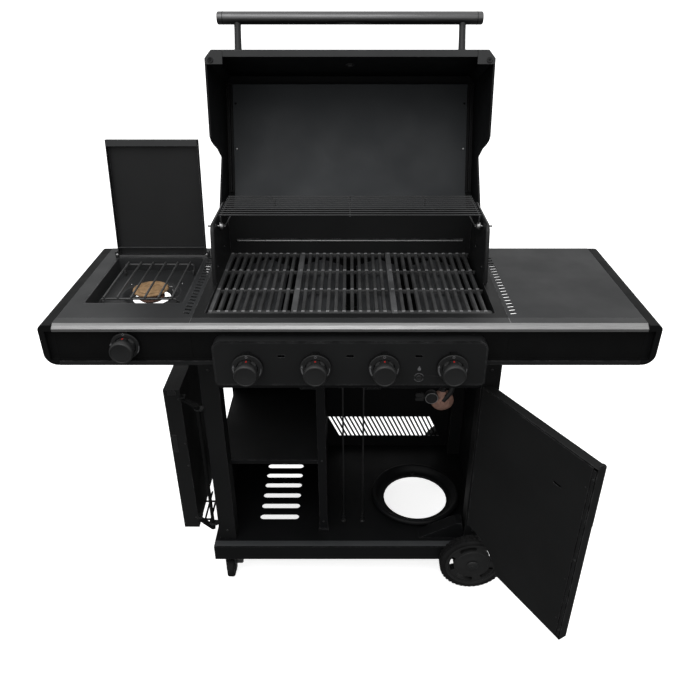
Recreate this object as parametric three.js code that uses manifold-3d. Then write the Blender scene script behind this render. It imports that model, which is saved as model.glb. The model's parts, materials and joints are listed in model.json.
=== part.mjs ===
// Gas barbecue grill on a two-door cart, with a side burner under its own lid.
// Millimetres, +Z up, +X to the right seen from the front, +Y to the back.
// The origin is on the floor, under the middle of the whole object with its hood, lid and doors open,
// which is the rest pose. Below, y = 0 lies a little behind the middle of the table, and the finished
// group is moved by ORIGIN_Y.
import * as THREE from "three";
import { mergeVertices } from "three/addons/utils/BufferGeometryUtils.js";
import Module from "manifold-3d";

const wasm = await Module();
wasm.setup();

// ---------- driving dimensions ----------
const ORIGIN_Y = -82;            // place of the origin in the coordinates below
const GAP = 0.3;                 // clearance between pieces that touch
const SHEET = 3;                 // folded sheet steel
// cart
const BASE = { halfX: 405, y0: -238, y1: 273, z0: 80, z1: 131, frontRail: 24 };
const POST = { size: 49, depth: 52, x1: 392, y0: -203, z1: 789.7 };
const REAR_POST_Y = 200;
const FLOOR_Z = BASE.z1 - 2;      // cabinet floor
const ON_FLOOR = FLOOR_Z + GAP;
const DIVIDER = { x: -80, front: -172, postBack: -150, top: 760, sheetTop: 660 };
const SHELF = { z: 406, thick: 14 };
const PANEL_TOP = 700;            // back and right side panels, and the guard rods
const TANK = { x: 211, y: -20, holeR: 101 };
const GUARD = { x: [-20, 38], y: -127, footR: 8, wireR: 2.6 };
// table
const TABLE_Z = 915;
const TABLE_BACK = 168;
const SHELF_X = [373, 692];      // side shelf, inner and outer edge
const END_X = 724;               // outside of the end caps
const TRIM_Y = -274;             // seam between shelf and front trim
const FRONT_Y = -312;            // front of the table frame
const FASCIA_Y = -300;           // recessed fascia
const TABLE_LOW = 808;
// firebox
const BOX_X = 356;               // outside of the firebox walls
const BOX = { y0: -262, y1: 166, z0: 790, wallTop: 1058, backTop: 1035 };
const GRATE_Z = 905;             // top of the cooking grates
// hood, described closed
const HOOD = { front: [-277, 925], frontTop: [-230, 1208], backTop: [97, 1152], backLow: [186, 1075] };
const HOOD_X = 364.5;
const HOOD_WALL = 5;
const PIVOT = { y: 152, z: 1013 };
const HOOD_OPEN = 100.5;         // degrees
const HANDLE = { up: 75, out: 94, halfX: 342, r: 16, postX: 290 };   // up the front wall, and out from it
// side burner
const BOWL = { x0: -655, x1: -409, y0: -196, y1: 98, z0: 862 };
const BURNER = { x: -528, y: -55, knobZ: 859 };
const LID = { x0: -652, x1: -406, y0: -203, y1: 108, z0: 917, z1: 934, pivot: { y: 104, z: 926 } };
const LID_OPEN = 99.5;
// controls
const KNOB_X = [-240, -80, 80, 240];
const KNOB_Z = 818;
const KNOB = { depth: 42, backR: 24, frontR: 28, stemR: 4.5, stem: 30 };
const DIAL = { r: 37, thick: 5, sideR: 34 };
const PANEL = { halfX: 320, z0: 766, z1: 884, y0: -335, topCorner: 20, lowCorner: 10 };
const LAMPS = { x: [-160.5, 0, 160.5], z: 846, halfX: 9, halfZ: 2.6 };
const BUTTON = { x: 163, z: 788, r: 8 };
// doors, described closed
const DOOR = { width: 370, thick: 25, z0: 140, back: -206, pinY: -233 };
const RIGHT_DOOR = { width: 380, top: 698, pinX: 370, past: 12, open: 120.4 };
const ARCH_R = 122;              // cut round the front wheel
const LEFT_DOOR = { top: 640, pinX: -377, open: 270 };
const LINK_PIN = { x: -405.3, y: -206.8 };     // pivot tube of the left door's swing link
const LINK_SWING = 156.7;                       // degrees, folded back to closed
// wheels
const WHEEL = { x: 361, r: 96, width: 35 };
const CASTER = { x: -362, r: 30, width: 22 };

const rad = THREE.MathUtils.degToRad;

// ---------- solids ----------
function toSolid(geometry) {
  const bare = geometry.index ? geometry.toNonIndexed() : geometry.clone();
  bare.deleteAttribute("normal");
  bare.deleteAttribute("uv");
  const merged = mergeVertices(bare, 1e-4);
  return new wasm.Manifold(new wasm.Mesh({
    numProp: 3,
    vertProperties: new Float32Array(merged.attributes.position.array),
    triVerts: new Uint32Array(merged.index.array),
  }));
}

function toGeometry(solid) {
  const mesh = solid.getMesh();
  const geometry = new THREE.BufferGeometry();
  geometry.setAttribute("position", new THREE.BufferAttribute(mesh.vertProperties, 3));
  geometry.setIndex(new THREE.BufferAttribute(mesh.triVerts, 1));
  geometry.computeVertexNormals();
  return geometry;
}

function box(x0, x1, y0, y1, z0, z1) {
  const geometry = new THREE.BoxGeometry(x1 - x0, y1 - y0, z1 - z0);
  geometry.translate((x0 + x1) / 2, (y0 + y1) / 2, (z0 + z1) / 2);
  return toSolid(geometry);
}

function union(...solids) {
  return solids.reduce((sum, solid) => sum.add(solid));
}

function cut(solid, ...tools) {
  return tools.reduce((left, tool) => left.subtract(tool), solid);
}

function outline(points) {
  return new THREE.Shape(points.map(([a, b]) => new THREE.Vector2(a, b)));
}

// Extrudes an outline drawn in (y, z) along X, in (x, z) along Y, or in (x, y) along Z.
function prism(axis, shape, from, to, curveSegments = 8) {
  const drawn = Array.isArray(shape) ? outline(shape) : shape;
  const options = { depth: to - from, bevelEnabled: false, curveSegments };
  const geometry = new THREE.ExtrudeGeometry(drawn, options);
  const turn = new THREE.Matrix4();
  if (axis === "x") turn.set(0, 0, 1, from, 1, 0, 0, 0, 0, 1, 0, 0, 0, 0, 0, 1);
  if (axis === "y") turn.set(1, 0, 0, 0, 0, 0, -1, to, 0, 1, 0, 0, 0, 0, 0, 1);
  if (axis === "z") turn.set(1, 0, 0, 0, 0, 1, 0, 0, 0, 0, 1, from, 0, 0, 0, 1);
  geometry.applyMatrix4(turn);
  return toSolid(geometry);
}

function roundedRect(a0, a1, b0, b1, r) {
  const shape = new THREE.Shape();
  shape.moveTo(a0 + r, b0);
  shape.lineTo(a1 - r, b0);
  shape.absarc(a1 - r, b0 + r, r, -Math.PI / 2, 0);
  shape.lineTo(a1, b1 - r);
  shape.absarc(a1 - r, b1 - r, r, 0, Math.PI / 2);
  shape.lineTo(a0 + r, b1);
  shape.absarc(a0 + r, b1 - r, r, Math.PI / 2, Math.PI);
  shape.lineTo(a0, b0 + r);
  shape.absarc(a0 + r, b0 + r, r, Math.PI, Math.PI * 1.5);
  return shape;
}

// A round bar between two points.
function rod(from, to, radius, sides = 8, radiusTo = radius) {
  const a = new THREE.Vector3(...from);
  const b = new THREE.Vector3(...to);
  const geometry = new THREE.CylinderGeometry(radiusTo, radius, a.distanceTo(b), sides);
  const along = b.clone().sub(a).normalize();
  geometry.applyQuaternion(new THREE.Quaternion().setFromUnitVectors(new THREE.Vector3(0, 1, 0), along));
  geometry.translate((a.x + b.x) / 2, (a.y + b.y) / 2, (a.z + b.z) / 2);
  return toSolid(geometry);
}

// A straight square wire between two points, for grids of many crossing wires.
function wire(from, to, half) {
  return rod(from, to, half * Math.SQRT2, 4);
}

// Turns a profile of (radius, height) about its own axis, then lays that axis along `axis` from `at`.
function turned(profile, at, axis, segments = 28) {
  const geometry = new THREE.LatheGeometry(profile.map(([r, h]) => new THREE.Vector2(r, h)), segments);
  const target = new THREE.Vector3(...axis);
  geometry.applyQuaternion(new THREE.Quaternion().setFromUnitVectors(new THREE.Vector3(0, 1, 0), target));
  geometry.translate(...at);
  return toSolid(geometry);
}

// ---------- materials ----------
const FINISH = {
  paint: { color: 0x17181a, roughness: 0.5, metalness: 0.3 },
  grey: { color: 0x2a2b2d, roughness: 0.45, metalness: 0.4 },
  plastic: { color: 0x121314, roughness: 0.65, metalness: 0 },
  iron: { color: 0x1c1c1c, roughness: 0.7, metalness: 0.4 },
  steel: { color: 0x6f7275, roughness: 0.35, metalness: 1 },
  brass: { color: 0xb58a55, roughness: 0.4, metalness: 1 },
  tyre: { color: 0x161616, roughness: 0.9, metalness: 0 },
};

const group = new THREE.Group();

function place(name, solid, finish, parent = group) {
  const mesh = new THREE.Mesh(toGeometry(solid), new THREE.MeshStandardMaterial(FINISH[finish]));
  mesh.name = name;
  parent.add(mesh);
  return mesh;
}

// A group whose pieces are drawn in a moved body's own place and turned to the rest pose about a pivot.
function turnedGroup(pivot, axis, degrees, parent = group) {
  const outer = new THREE.Group();
  outer.position.set(...pivot);
  outer.quaternion.setFromAxisAngle(new THREE.Vector3(...axis), rad(degrees));
  const inner = new THREE.Group();
  inner.position.set(...pivot.map((value) => -value));
  outer.add(inner);
  parent.add(outer);
  return inner;
}

// ---------- cart ----------
function baseTray() {
  const { halfX, y0, y1, z0, z1, frontRail } = BASE;
  const outer = box(-halfX, halfX, y0, y1, z0, z1);
  const under = box(-halfX + SHEET, halfX - SHEET, y0 + frontRail, y1 - SHEET, z0 - 1, FLOOR_Z - SHEET);
  const inside = box(-halfX + SHEET, halfX - SHEET, y0 + frontRail, y1 - SHEET, FLOOR_Z, z1 + 1);
  const rail = box(-halfX + SHEET, halfX - SHEET, y0 + SHEET, y0 + frontRail - SHEET, z0 - 1, z1 - SHEET);
  const tankHole = rod([TANK.x, TANK.y, z0], [TANK.x, TANK.y, z1 + 5], TANK.holeR, 32);
  const axlePassage = rod([WHEEL.x, y0 - 1, WHEEL.r], [WHEEL.x, y1 + 1, WHEEL.r], 6.5, 16);
  const axleCover = prism("y", [[206, FLOOR_Z - 1], [342, FLOOR_Z - 1], [342, FLOOR_Z + 20],
    [334, FLOOR_Z + 58], [316, FLOOR_Z + 58]], -200, -162);
  const slot = { x0: -281, x1: -160, first: -109, pitch: 49, half: 11, rows: 6 };
  const slots = [];
  for (let row = 0; row < slot.rows; row += 1) {
    const y = slot.first + row * slot.pitch;
    const shape = roundedRect(slot.x0, slot.x1, y - slot.half, y + slot.half, slot.half - 0.1);
    slots.push(prism("z", shape, FLOOR_Z - 10, z1 + 5, 3));
  }
  return union(cut(outer, under, inside, rail, tankHole, axlePassage, ...slots), axleCover);
}

function post(side, y0) {
  const x0 = side > 0 ? POST.x1 - POST.size : -POST.x1;
  return box(x0, x0 + POST.size, y0, y0 + POST.depth, ON_FLOOR, POST.z1);
}

// The left front post carries the two ears that hold the pivot tube of the door's swing link.
function leftFrontPost() {
  const { x, y } = LINK_PIN;
  const ears = [196, 606].map((z) => {
    const ear = prism("z", roundedRect(x - 10, -POST.x1 + 4, y - 10, y + 10, 9), z, z + 5, 4);
    return cut(ear, rod([x, y, z - 1], [x, y, z + 6], 5.4, 16));
  });
  return union(post(-1, POST.y0), ...ears);
}

function backPanel() {
  const y = REAR_POST_Y + POST.depth + GAP;
  const panel = box(-POST.x1, POST.x1, y, y + SHEET, ON_FLOOR, PANEL_TOP);
  const louvre = { count: 24, first: -76.8, pitch: 15.07, width: 8.6, slant: 38.6, z0: 171, z1: 254 };
  const slots = [];
  for (let i = 0; i < louvre.count; i += 1) {
    const top = louvre.first + i * louvre.pitch;
    const low = top + louvre.slant;
    slots.push(prism("y", [[top, louvre.z1], [top + louvre.width, louvre.z1], [low + louvre.width, louvre.z0],
      [low, louvre.z0]], y - 1, y + SHEET + 1));
  }
  return cut(panel, ...slots);
}

function sidePanel(side, top) {
  const x0 = side > 0 ? POST.x1 - 8 : -POST.x1 + 5;
  return box(x0, x0 + SHEET, POST.y0 + POST.depth + GAP, REAR_POST_Y - GAP, ON_FLOOR, top);
}

function divider() {
  const { x, front, postBack, top, sheetTop } = DIVIDER;
  const post = box(x - 12, x + 12, front, postBack, ON_FLOOR, top);
  const foot = box(x - 15, x + 15, front - 4, postBack + 4, ON_FLOOR, ON_FLOOR + 12);
  const sheet = box(x - SHEET / 2, x + SHEET / 2, postBack - 1, REAR_POST_Y + POST.depth, ON_FLOOR, sheetTop);
  return union(post, foot, sheet);
}

function cabinetShelf() {
  const x0 = -POST.x1 + 8 + GAP;
  const x1 = DIVIDER.x - SHEET / 2 - GAP;
  const y0 = DIVIDER.front;
  const y1 = REAR_POST_Y + POST.depth;
  const low = SHELF.z - SHELF.thick;
  const [under, over] = [low - 10, SHELF.z + 10];
  const tray = box(x0, x1, y0, y1, low, SHELF.z);
  const hollow = box(x0 + SHEET, x1 - SHEET, y0 + SHEET, y1 - SHEET, under, SHELF.z - SHEET);
  const postSide = -POST.x1 + POST.size + GAP;
  const frontPost = box(x0 - 1, postSide, y0 - 1, POST.y0 + POST.depth + GAP, under, over);
  const rearPost = box(x0 - 1, postSide, REAR_POST_Y - GAP, y1 + 1, under, over);
  const dividerPost = box(DIVIDER.x - 12 - GAP, x1 + 1, y0 - 1, DIVIDER.postBack + GAP, under, over);
  return cut(tray, hollow, frontPost, rearPost, dividerPost);
}

function frontRail() {
  const y = POST.y0;
  const x = POST.x1 - POST.size - GAP;
  return box(-x, x, y, y + 20, 672, POST.z1);
}

// Beam between the rear posts, below the way out of the drip tray. Two uprights on it end in arms
// that reach forward under the firebox.
function rearRail() {
  const x = POST.x1 - POST.size - GAP;
  const [y0, y1] = [REAR_POST_Y, REAR_POST_Y + 25];
  const [beamTop, armZ] = [748, POST.z1 - 25];
  const beam = box(-x, x, y0, y1, PANEL_TOP, beamTop);
  const arms = [-300, 300].map((at) => union(
    box(at - 20, at + 20, y0, y1, beamTop - 1, POST.z1),
    box(at - 20, at + 20, 90, y0 + 1, armZ, POST.z1),
  ));
  return union(beam, ...arms);
}

function tankRing() {
  const profile = [[102, 0], [126, 0], [137, 10], [141, 16], [141, 21], [136, 25], [130, 24], [117, 7],
    [102, 4], [102, 0]];
  return turned(profile, [TANK.x, TANK.y, ON_FLOOR], [0, 0, 1], 32);
}

function guardRod(x) {
  const { y, footR, wireR } = GUARD;
  const foot = rod([x, y, ON_FLOOR], [x, y, ON_FLOOR + 8], footR, 12);
  return union(foot, rod([x, y, ON_FLOOR + 4], [x, y, PANEL_TOP], wireR, 8));
}

place("base_tray", baseTray(), "paint");
place("post_front_left", leftFrontPost(), "grey");
place("post_front_right", post(1, POST.y0), "grey");
place("post_rear_left", post(-1, REAR_POST_Y), "grey");
place("post_rear_right", post(1, REAR_POST_Y), "grey");
place("back_panel", backPanel(), "paint");
place("left_side_panel", sidePanel(-1, SHELF.z - 20), "paint");
place("right_side_panel", sidePanel(1, PANEL_TOP), "paint");
place("divider", divider(), "paint");
place("cabinet_shelf", cabinetShelf(), "paint");
place("front_rail", frontRail(), "paint");
place("tank_ring", tankRing(), "paint");
place("rear_rail", rearRail(), "grey");
place("guard_rod_left", guardRod(GUARD.x[0]), "steel");
place("guard_rod_right", guardRod(GUARD.x[1]), "steel");

// ---------- firebox and cooking parts ----------
const FIRE = { inX: BOX_X - 10, y0: BOX.y0 + 12, y1: BOX.y1 - 6, floor: BOX.z0 + SHEET };
const BURNER_Z = 838;
const TRAY_X = 78;

function firebox() {
  const tub = box(-BOX_X, BOX_X, BOX.y0, BOX.y1, BOX.z0, TABLE_Z - 1);
  const flange = box(-SHELF_X[0] + GAP, SHELF_X[0] - GAP, TRIM_Y + GAP, BOX.y1, TABLE_Z - 6, TABLE_Z);
  const wallOutline = [[-82, TABLE_Z - 6], [BOX.y1, TABLE_Z - 6], [BOX.y1, BOX.wallTop - 20],
    [BOX.y1 - 20, BOX.wallTop], [-34, BOX.wallTop], [-46, BOX.wallTop - 8]];
  const walls = [-1, 1].map((side) => {
    const x0 = side > 0 ? FIRE.inX : -BOX_X;
    return prism("x", wallOutline, x0, x0 + 10);
  });
  const back = box(-BOX_X, BOX_X, FIRE.y1, BOX.y1, TABLE_Z - 6, BOX.backTop);
  const pins = [-1, 1].map((side) => rod([side * (BOX_X - 4), PIVOT.y, PIVOT.z],
    [side * (HOOD_X + 4), PIVOT.y, PIVOT.z], 6, 16));
  const rails = [-1, 1].map((side) => {
    const hanger = box(side * TRAY_X - 1.5, side * TRAY_X + 1.5, -130, 150, BOX.z0 - 32, BOX.z0 + 1);
    const lip = box(side * (TRAY_X - 5) - 5, side * (TRAY_X - 5) + 5, -130, 150, BOX.z0 - 35, BOX.z0 - 32);
    return union(hanger, lip);
  });
  const ledges = [[FIRE.y0 - 1, FIRE.y0 + 12], [FIRE.y1 - 12, FIRE.y1 + 1]].map(([y0, y1]) =>
    box(-FIRE.inX - 1, FIRE.inX + 1, y0, y1, 857, 860));
  const grateLedges = [[FIRE.y0 - 1, FIRE.y0 + 8], [FIRE.y1 - 8, FIRE.y1 + 1]].map(([y0, y1]) =>
    box(-FIRE.inX - 1, FIRE.inX + 1, y0, y1, GRATE_Z - 16, GRATE_Z - 13));
  const hollow = box(-FIRE.inX, FIRE.inX, FIRE.y0, FIRE.y1, FIRE.floor, BOX.wallTop + 1);
  const drain = box(-60, 60, -110, 40, BOX.z0 - 1, FIRE.floor + 1);
  const ports = KNOB_X.map((x) => rod([x, BOX.y0 - 2, BURNER_Z], [x, FIRE.y0 + 2, BURNER_Z], 15, 20));
  const rackHoles = rod([-BOX_X - 1, 6, 1041], [BOX_X + 1, 6, 1041], 3.8, 10);
  const brackets = [-1, 1].flatMap((side) => [-200, 60].map((y) =>
    box(Math.min(side * BOX_X, side * (SHELF_X[0] - GAP)), Math.max(side * BOX_X, side * (SHELF_X[0] - GAP)),
      y, y + 40, TABLE_Z - 45, TABLE_Z - 15)));
  const shell = cut(union(tub, flange, ...walls, back, ...brackets), hollow, drain, ...ports, rackHoles);
  return union(shell, ...pins, ...rails, ...ledges, ...grateLedges);
}

const GRATE = { pitch: 20, bar: 10, ribY: [-218, -91, 32, 154], ribHalf: 5 };

// A cast grate: long bars from front to back, tied by four cross ribs.
function grate(x0, x1, border) {
  const { pitch, bar, ribY, ribHalf } = GRATE;
  const slab = box(x0, x1, FIRE.y0 + GAP, FIRE.y1 - GAP, GRATE_Z - 12, GRATE_Z);
  const slots = [];
  for (let x = x0 + border; x + bar < x1; x += pitch) {
    for (let bay = 0; bay < ribY.length - 1; bay += 1) {
      slots.push(box(x, x + pitch - bar, ribY[bay] + ribHalf, ribY[bay + 1] - ribHalf,
        GRATE_Z - 13, GRATE_Z + 1));
    }
  }
  return cut(slab, ...slots);
}

function flameTamer(x) {
  const ridge = [[x - 62, 861], [x, 883], [x + 62, 861], [x + 62, 864], [x, 886], [x - 62, 864]];
  return prism("y", ridge, FIRE.y0 + 1, FIRE.y1 - 1);
}

function burner(x) {
  return rod([x, -270, BURNER_Z], [x, FIRE.y1 - 12, BURNER_Z], 13, 12);
}

const RACK = { z: 1075, y0: -7, y1: 150, halfX: 334, rods: 10, thick: 1.7, pinX: 369 };

function warmingRack() {
  const { z, y0, y1, halfX, rods, thick, pinX } = RACK;
  const parts = [-halfX, 0, halfX].map((x) => wire([x, y0 - 2, z - 3], [x, y1 + 2, z - 3], 2.5));
  for (let i = 0; i < rods; i += 1) {
    const y = y0 + ((y1 - y0) * i) / (rods - 1);
    parts.push(wire([-halfX - 3, y, z], [halfX + 3, y, z], thick));
  }
  for (const side of [-1, 1]) {
    parts.push(rod([side * halfX, y0, z - 3], [side * 338, 6, 1041], 3, 8));
    parts.push(rod([side * (halfX + 1), 6, 1041], [side * pinX, 6, 1041], 3, 8));
    parts.push(rod([side * 210, y1, z], [side * 210, BOX.y1 - 3, BOX.backTop + 4], 3, 8));
  }
  return union(...parts);
}

function dripTray() {
  const z = BOX.z0 - 31.7;
  const x = TRAY_X - 2;
  const pan = box(-x, x, -128, 150, z, z + 26);
  const hollow = box(-x + 2, x - 2, -126, 148, z + 2, z + 30);
  const pull = box(-40, 40, 149, 168, z + 20, z + 23);
  return union(cut(pan, hollow), pull);
}

function gasManifold() {
  const pipe = rod([-290, -284, KNOB_Z], [290, -284, KNOB_Z], 8, 12);
  const nipple = rod([285, -284, KNOB_Z], [285, -284, 770], 6, 12);
  return union(pipe, nipple);
}

function regulator() {
  const [x, y, z] = [252, -150, 600];
  const bell = turned([[0, 0], [28, 0], [31, 4], [31, 14], [22, 22], [0, 22]], [x, y + 10, z], [0, -1, 0]);
  const dial = turned([[0, 0], [17, 0], [18, 3], [18, 20], [0, 20]], [x - 31, y - 4, z + 16], [0, -1, 0]);
  const wings = box(x - 76, x - 46, y - 14, y - 4, z + 10, z + 20);
  const pipe = rod([x, y, z + 10], [x, y, BOX.z0 - GAP], 6, 12);
  return union(bell, dial, wings, pipe);
}

place("firebox", firebox(), "grey");
place("grate_left", grate(-FIRE.inX + 1, -145, 10), "iron");
place("grate_middle", grate(-143.5, 100, 14), "iron");
place("grate_right", grate(101.5, FIRE.inX - 1, 14), "iron");
KNOB_X.forEach((x, i) => {
  place(`flame_tamer_${i + 1}`, flameTamer(x), "iron");
  place(`burner_${i + 1}`, burner(x), "steel");
});
place("warming_rack", warmingRack(), "steel");
place("drip_tray", dripTray(), "steel");
place("gas_manifold", gasManifold(), "steel");
place("regulator", regulator(), "brass");

// ---------- table ----------
function sideShelf(side) {
  const [a, b] = SHELF_X;
  const x0 = side > 0 ? a : -b;
  const x1 = side > 0 ? b : -a;
  const y0 = TRIM_Y + GAP;
  const tray = box(x0 + GAP, x1 - GAP, y0, TABLE_BACK, TABLE_Z - 50, TABLE_Z);
  const hollow = box(x0 + SHEET, x1 - SHEET, y0 + SHEET, TABLE_BACK - SHEET, TABLE_Z - 51, TABLE_Z - SHEET);
  const slots = [];
  const vent = { count: 20, first: -254, pitch: 17.8, near: 382, far: 398, width: 8, slant: 4 };
  for (let i = 0; i < vent.count; i += 1) {
    const y = vent.first + i * vent.pitch;
    const [near, far] = [side * vent.near, side * vent.far];
    const slot = [[near, y], [far, y + vent.slant], [far, y + vent.slant + vent.width],
      [near, y + vent.width]];
    slots.push(prism("z", side > 0 ? slot : slot.reverse(), TABLE_Z - 10, TABLE_Z + 1));
  }
  return cut(tray, hollow, ...slots);
}

function leftShelf() {
  const { x0, x1, y0, y1 } = BOWL;
  const opening = box(x0 - GAP, x1 + GAP, y0 - GAP, y1 + GAP, TABLE_Z - 20, TABLE_Z + 1);
  const ears = [[-661, -655], [-403, -397]].map(([a, b]) =>
    box(a, b, LID.pivot.y - 8, LID.pivot.y + 8, TABLE_Z - 1, LID.pivot.z + 6));
  const pins = [[-656, -649], [-409, -402]].map(([a, b]) =>
    rod([a, LID.pivot.y, LID.pivot.z], [b, LID.pivot.y, LID.pivot.z], 2.5, 10));
  return union(cut(sideShelf(-1), opening), ...ears, ...pins);
}

function frontTrim() {
  const top = [[TRIM_Y - GAP, TABLE_Z], [-299, TABLE_Z], [-307, TABLE_Z - 3], [FRONT_Y, TABLE_Z - 10],
    [FRONT_Y, TABLE_Z - 17], [FASCIA_Y + 1, TABLE_Z - 17], [FASCIA_Y + 1, TABLE_Z - 6],
    [TRIM_Y - GAP, TABLE_Z - 6]];
  return prism("x", top.reverse(), -SHELF_X[1] + GAP, SHELF_X[1] - GAP);
}

const HOLE_R = 6;

function knobHole(x, z) {
  return rod([x, PANEL.y0 - 20, z], [x, FASCIA_Y + 20, z], HOLE_R, 10);
}

function fascia() {
  const section = [[FRONT_Y, TABLE_LOW], [FASCIA_Y + SHEET, TABLE_LOW],
    [FASCIA_Y + SHEET, TABLE_Z - 17 - GAP],
    [FASCIA_Y, TABLE_Z - 17 - GAP], [FASCIA_Y, TABLE_LOW + 12], [FRONT_Y, TABLE_LOW + 12]];
  const strip = prism("x", section, -SHELF_X[1] + GAP, SHELF_X[1] - GAP);
  const bezel = rod([BURNER.x, FASCIA_Y + 1, BURNER.knobZ], [BURNER.x, FASCIA_Y - DIAL.thick, BURNER.knobZ],
    DIAL.sideR, 24, DIAL.sideR - 2);
  const behindPanel = box(-PANEL.halfX - 1, PANEL.halfX + 1, FRONT_Y - 1, FASCIA_Y,
    TABLE_LOW - 1, TABLE_LOW + 13);
  const seams = [-SHELF_X[0], SHELF_X[0]].map((x) =>
    box(x - 0.6, x + 0.6, FASCIA_Y - 1, FASCIA_Y + 1.2, TABLE_LOW + 11, TABLE_Z));
  const holes = [...KNOB_X.map((x) => knobHole(x, KNOB_Z)), knobHole(BURNER.x, BURNER.knobZ)];
  return cut(union(strip, bezel), behindPanel, ...seams, ...holes);
}

function endCap(side) {
  const [x0, x1] = [SHELF_X[1], END_X];
  const r = 30;
  const shape = new THREE.Shape();
  shape.moveTo(x0, TABLE_LOW);
  shape.lineTo(x1 - r, TABLE_LOW);
  shape.absarc(x1 - r, TABLE_LOW + r, r, -Math.PI / 2, 0);
  shape.lineTo(x1, TABLE_Z - 14);
  shape.absarc(x1 - 14, TABLE_Z - 14, 14, 0, Math.PI / 2);
  shape.lineTo(x0, TABLE_Z);
  const cap = prism("y", shape, FRONT_Y, TABLE_BACK);
  const recess = box(x0 - 5, x1 - 14, FRONT_Y - 1, FASCIA_Y, TABLE_LOW + 12, TABLE_Z - 17);
  const hollow = box(x0 - 5, x1 - 4, FASCIA_Y + 4, TABLE_BACK - 4, TABLE_LOW - 1 + 34, TABLE_Z - 6);
  const right = cut(cap, recess, hollow);
  return side > 0 ? right : right.mirror([1, 0, 0]);
}

function burnerBowl() {
  const { x0, x1, y0, y1, z0 } = BOWL;
  const tub = box(x0, x1, y0, y1, z0, TABLE_Z - 0.5);
  const hollow = box(x0 + SHEET, x1 - SHEET, y0 + SHEET, y1 - SHEET, z0 + SHEET, TABLE_Z);
  const drain = rod([BURNER.x, BURNER.y, z0 - 1], [BURNER.x, BURNER.y, z0 + 5], 20, 20);
  return cut(tub, hollow, drain);
}

function sideBurner() {
  const z = BOWL.z0 + SHEET + GAP;
  const profile = [[0, 0], [50, 0], [50, 3], [40, 7], [40, 16], [48, 18], [48, 22], [30, 26], [0, 26]];
  return turned(profile, [BURNER.x, BURNER.y, z], [0, 0, 1], 32);
}

function potSupport() {
  const z = 908;
  const [x0, x1, y0, y1] = [-620, -448, -148, 78];
  const parts = [y0, y1].map((y) => wire([x0 - 12, y, z - 5], [x1 + 12, y, z - 5], 2.6));
  for (let i = 0; i < 6; i += 1) {
    const x = x0 + ((x1 - x0) * i) / 5;
    parts.push(wire([x, y0 - 3, z], [x, y1 + 3, z], 2.6));
  }
  for (const x of [x0 - 10, x1 + 10]) {
    for (const y of [y0, y1]) {
      parts.push(wire([x, y, z - 4], [x, y, BOWL.z0 + SHEET + GAP], 2.6));
    }
  }
  return union(...parts);
}

// The panel's outline, drawn in by `inset`, with larger corners at the top.
function panelOutline(inset) {
  const { halfX, z0, z1, topCorner, lowCorner } = PANEL;
  const [x, low, top] = [halfX - inset, z0 + inset, z1 - inset];
  const [rLow, rTop] = [lowCorner - inset, topCorner - inset];
  const shape = new THREE.Shape();
  shape.moveTo(-x + rLow, low);
  shape.absarc(x - rLow, low + rLow, rLow, -Math.PI / 2, 0);
  shape.absarc(x - rTop, top - rTop, rTop, 0, Math.PI / 2);
  shape.absarc(-x + rTop, top - rTop, rTop, Math.PI / 2, Math.PI);
  shape.absarc(-x + rLow, low + rLow, rLow, Math.PI, Math.PI * 1.5);
  return shape;
}

function controlPanel() {
  const { y0 } = PANEL;
  const face = prism("y", panelOutline(0), y0, FASCIA_Y - GAP, 4);
  const hollow = prism("y", panelOutline(SHEET), y0 + SHEET, FASCIA_Y + 5, 4);
  const dials = KNOB_X.map((x) =>
    rod([x, y0 + 1, KNOB_Z], [x, y0 - DIAL.thick, KNOB_Z], DIAL.r, 24, DIAL.r - 2));
  const lamps = LAMPS.x.map((x) => box(x - LAMPS.halfX, x + LAMPS.halfX, y0 - 1, y0 + 4,
    LAMPS.z - LAMPS.halfZ, LAMPS.z + LAMPS.halfZ));
  const button = rod([BUTTON.x, y0 - 1, BUTTON.z], [BUTTON.x, y0 + 5, BUTTON.z], BUTTON.r + 0.5, 20);
  const shafts = KNOB_X.map((x) => knobHole(x, KNOB_Z));
  return cut(union(cut(face, hollow), ...dials), ...shafts, ...lamps, button);
}

place("left_shelf", leftShelf(), "grey");
place("right_shelf", sideShelf(1), "grey");
place("front_trim", frontTrim(), "steel");
place("fascia", fascia(), "plastic");
place("left_end_cap", endCap(-1), "plastic");
place("right_end_cap", endCap(1), "plastic");
place("side_burner_bowl", burnerBowl(), "grey");
place("side_burner", sideBurner(), "brass");
place("pot_support", potSupport(), "iron");
place("control_panel", controlPanel(), "plastic");

// ---------- controls ----------
function knob(x, y, z) {
  const { depth, backR, frontR, stemR, stem: length } = KNOB;
  const profile = [[0, 0], [backR, 0], [backR, 14], [frontR, 26], [frontR, depth - 4], [frontR - 3, depth],
    [0, depth]];
  const stem = rod([x, y - 1, z], [x, y + length, z], stemR, 12);
  return union(turned(profile, [x, y, z], [0, -1, 0], 24), stem);
}

KNOB_X.forEach((x, i) => place(`knob_${i + 1}`, knob(x, PANEL.y0 - DIAL.thick - GAP, KNOB_Z), "plastic"));
place("side_burner_knob", knob(BURNER.x, FASCIA_Y - DIAL.thick - GAP, BURNER.knobZ), "plastic");
place("igniter_button", rod([BUTTON.x, PANEL.y0 + 12, BUTTON.z], [BUTTON.x, PANEL.y0 - 4, BUTTON.z],
  BUTTON.r, 20), "plastic");

// ---------- hood, drawn closed ----------
const CORNER = { x: 17, y: 20 };         // chamfer on each front corner of the hood

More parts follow.
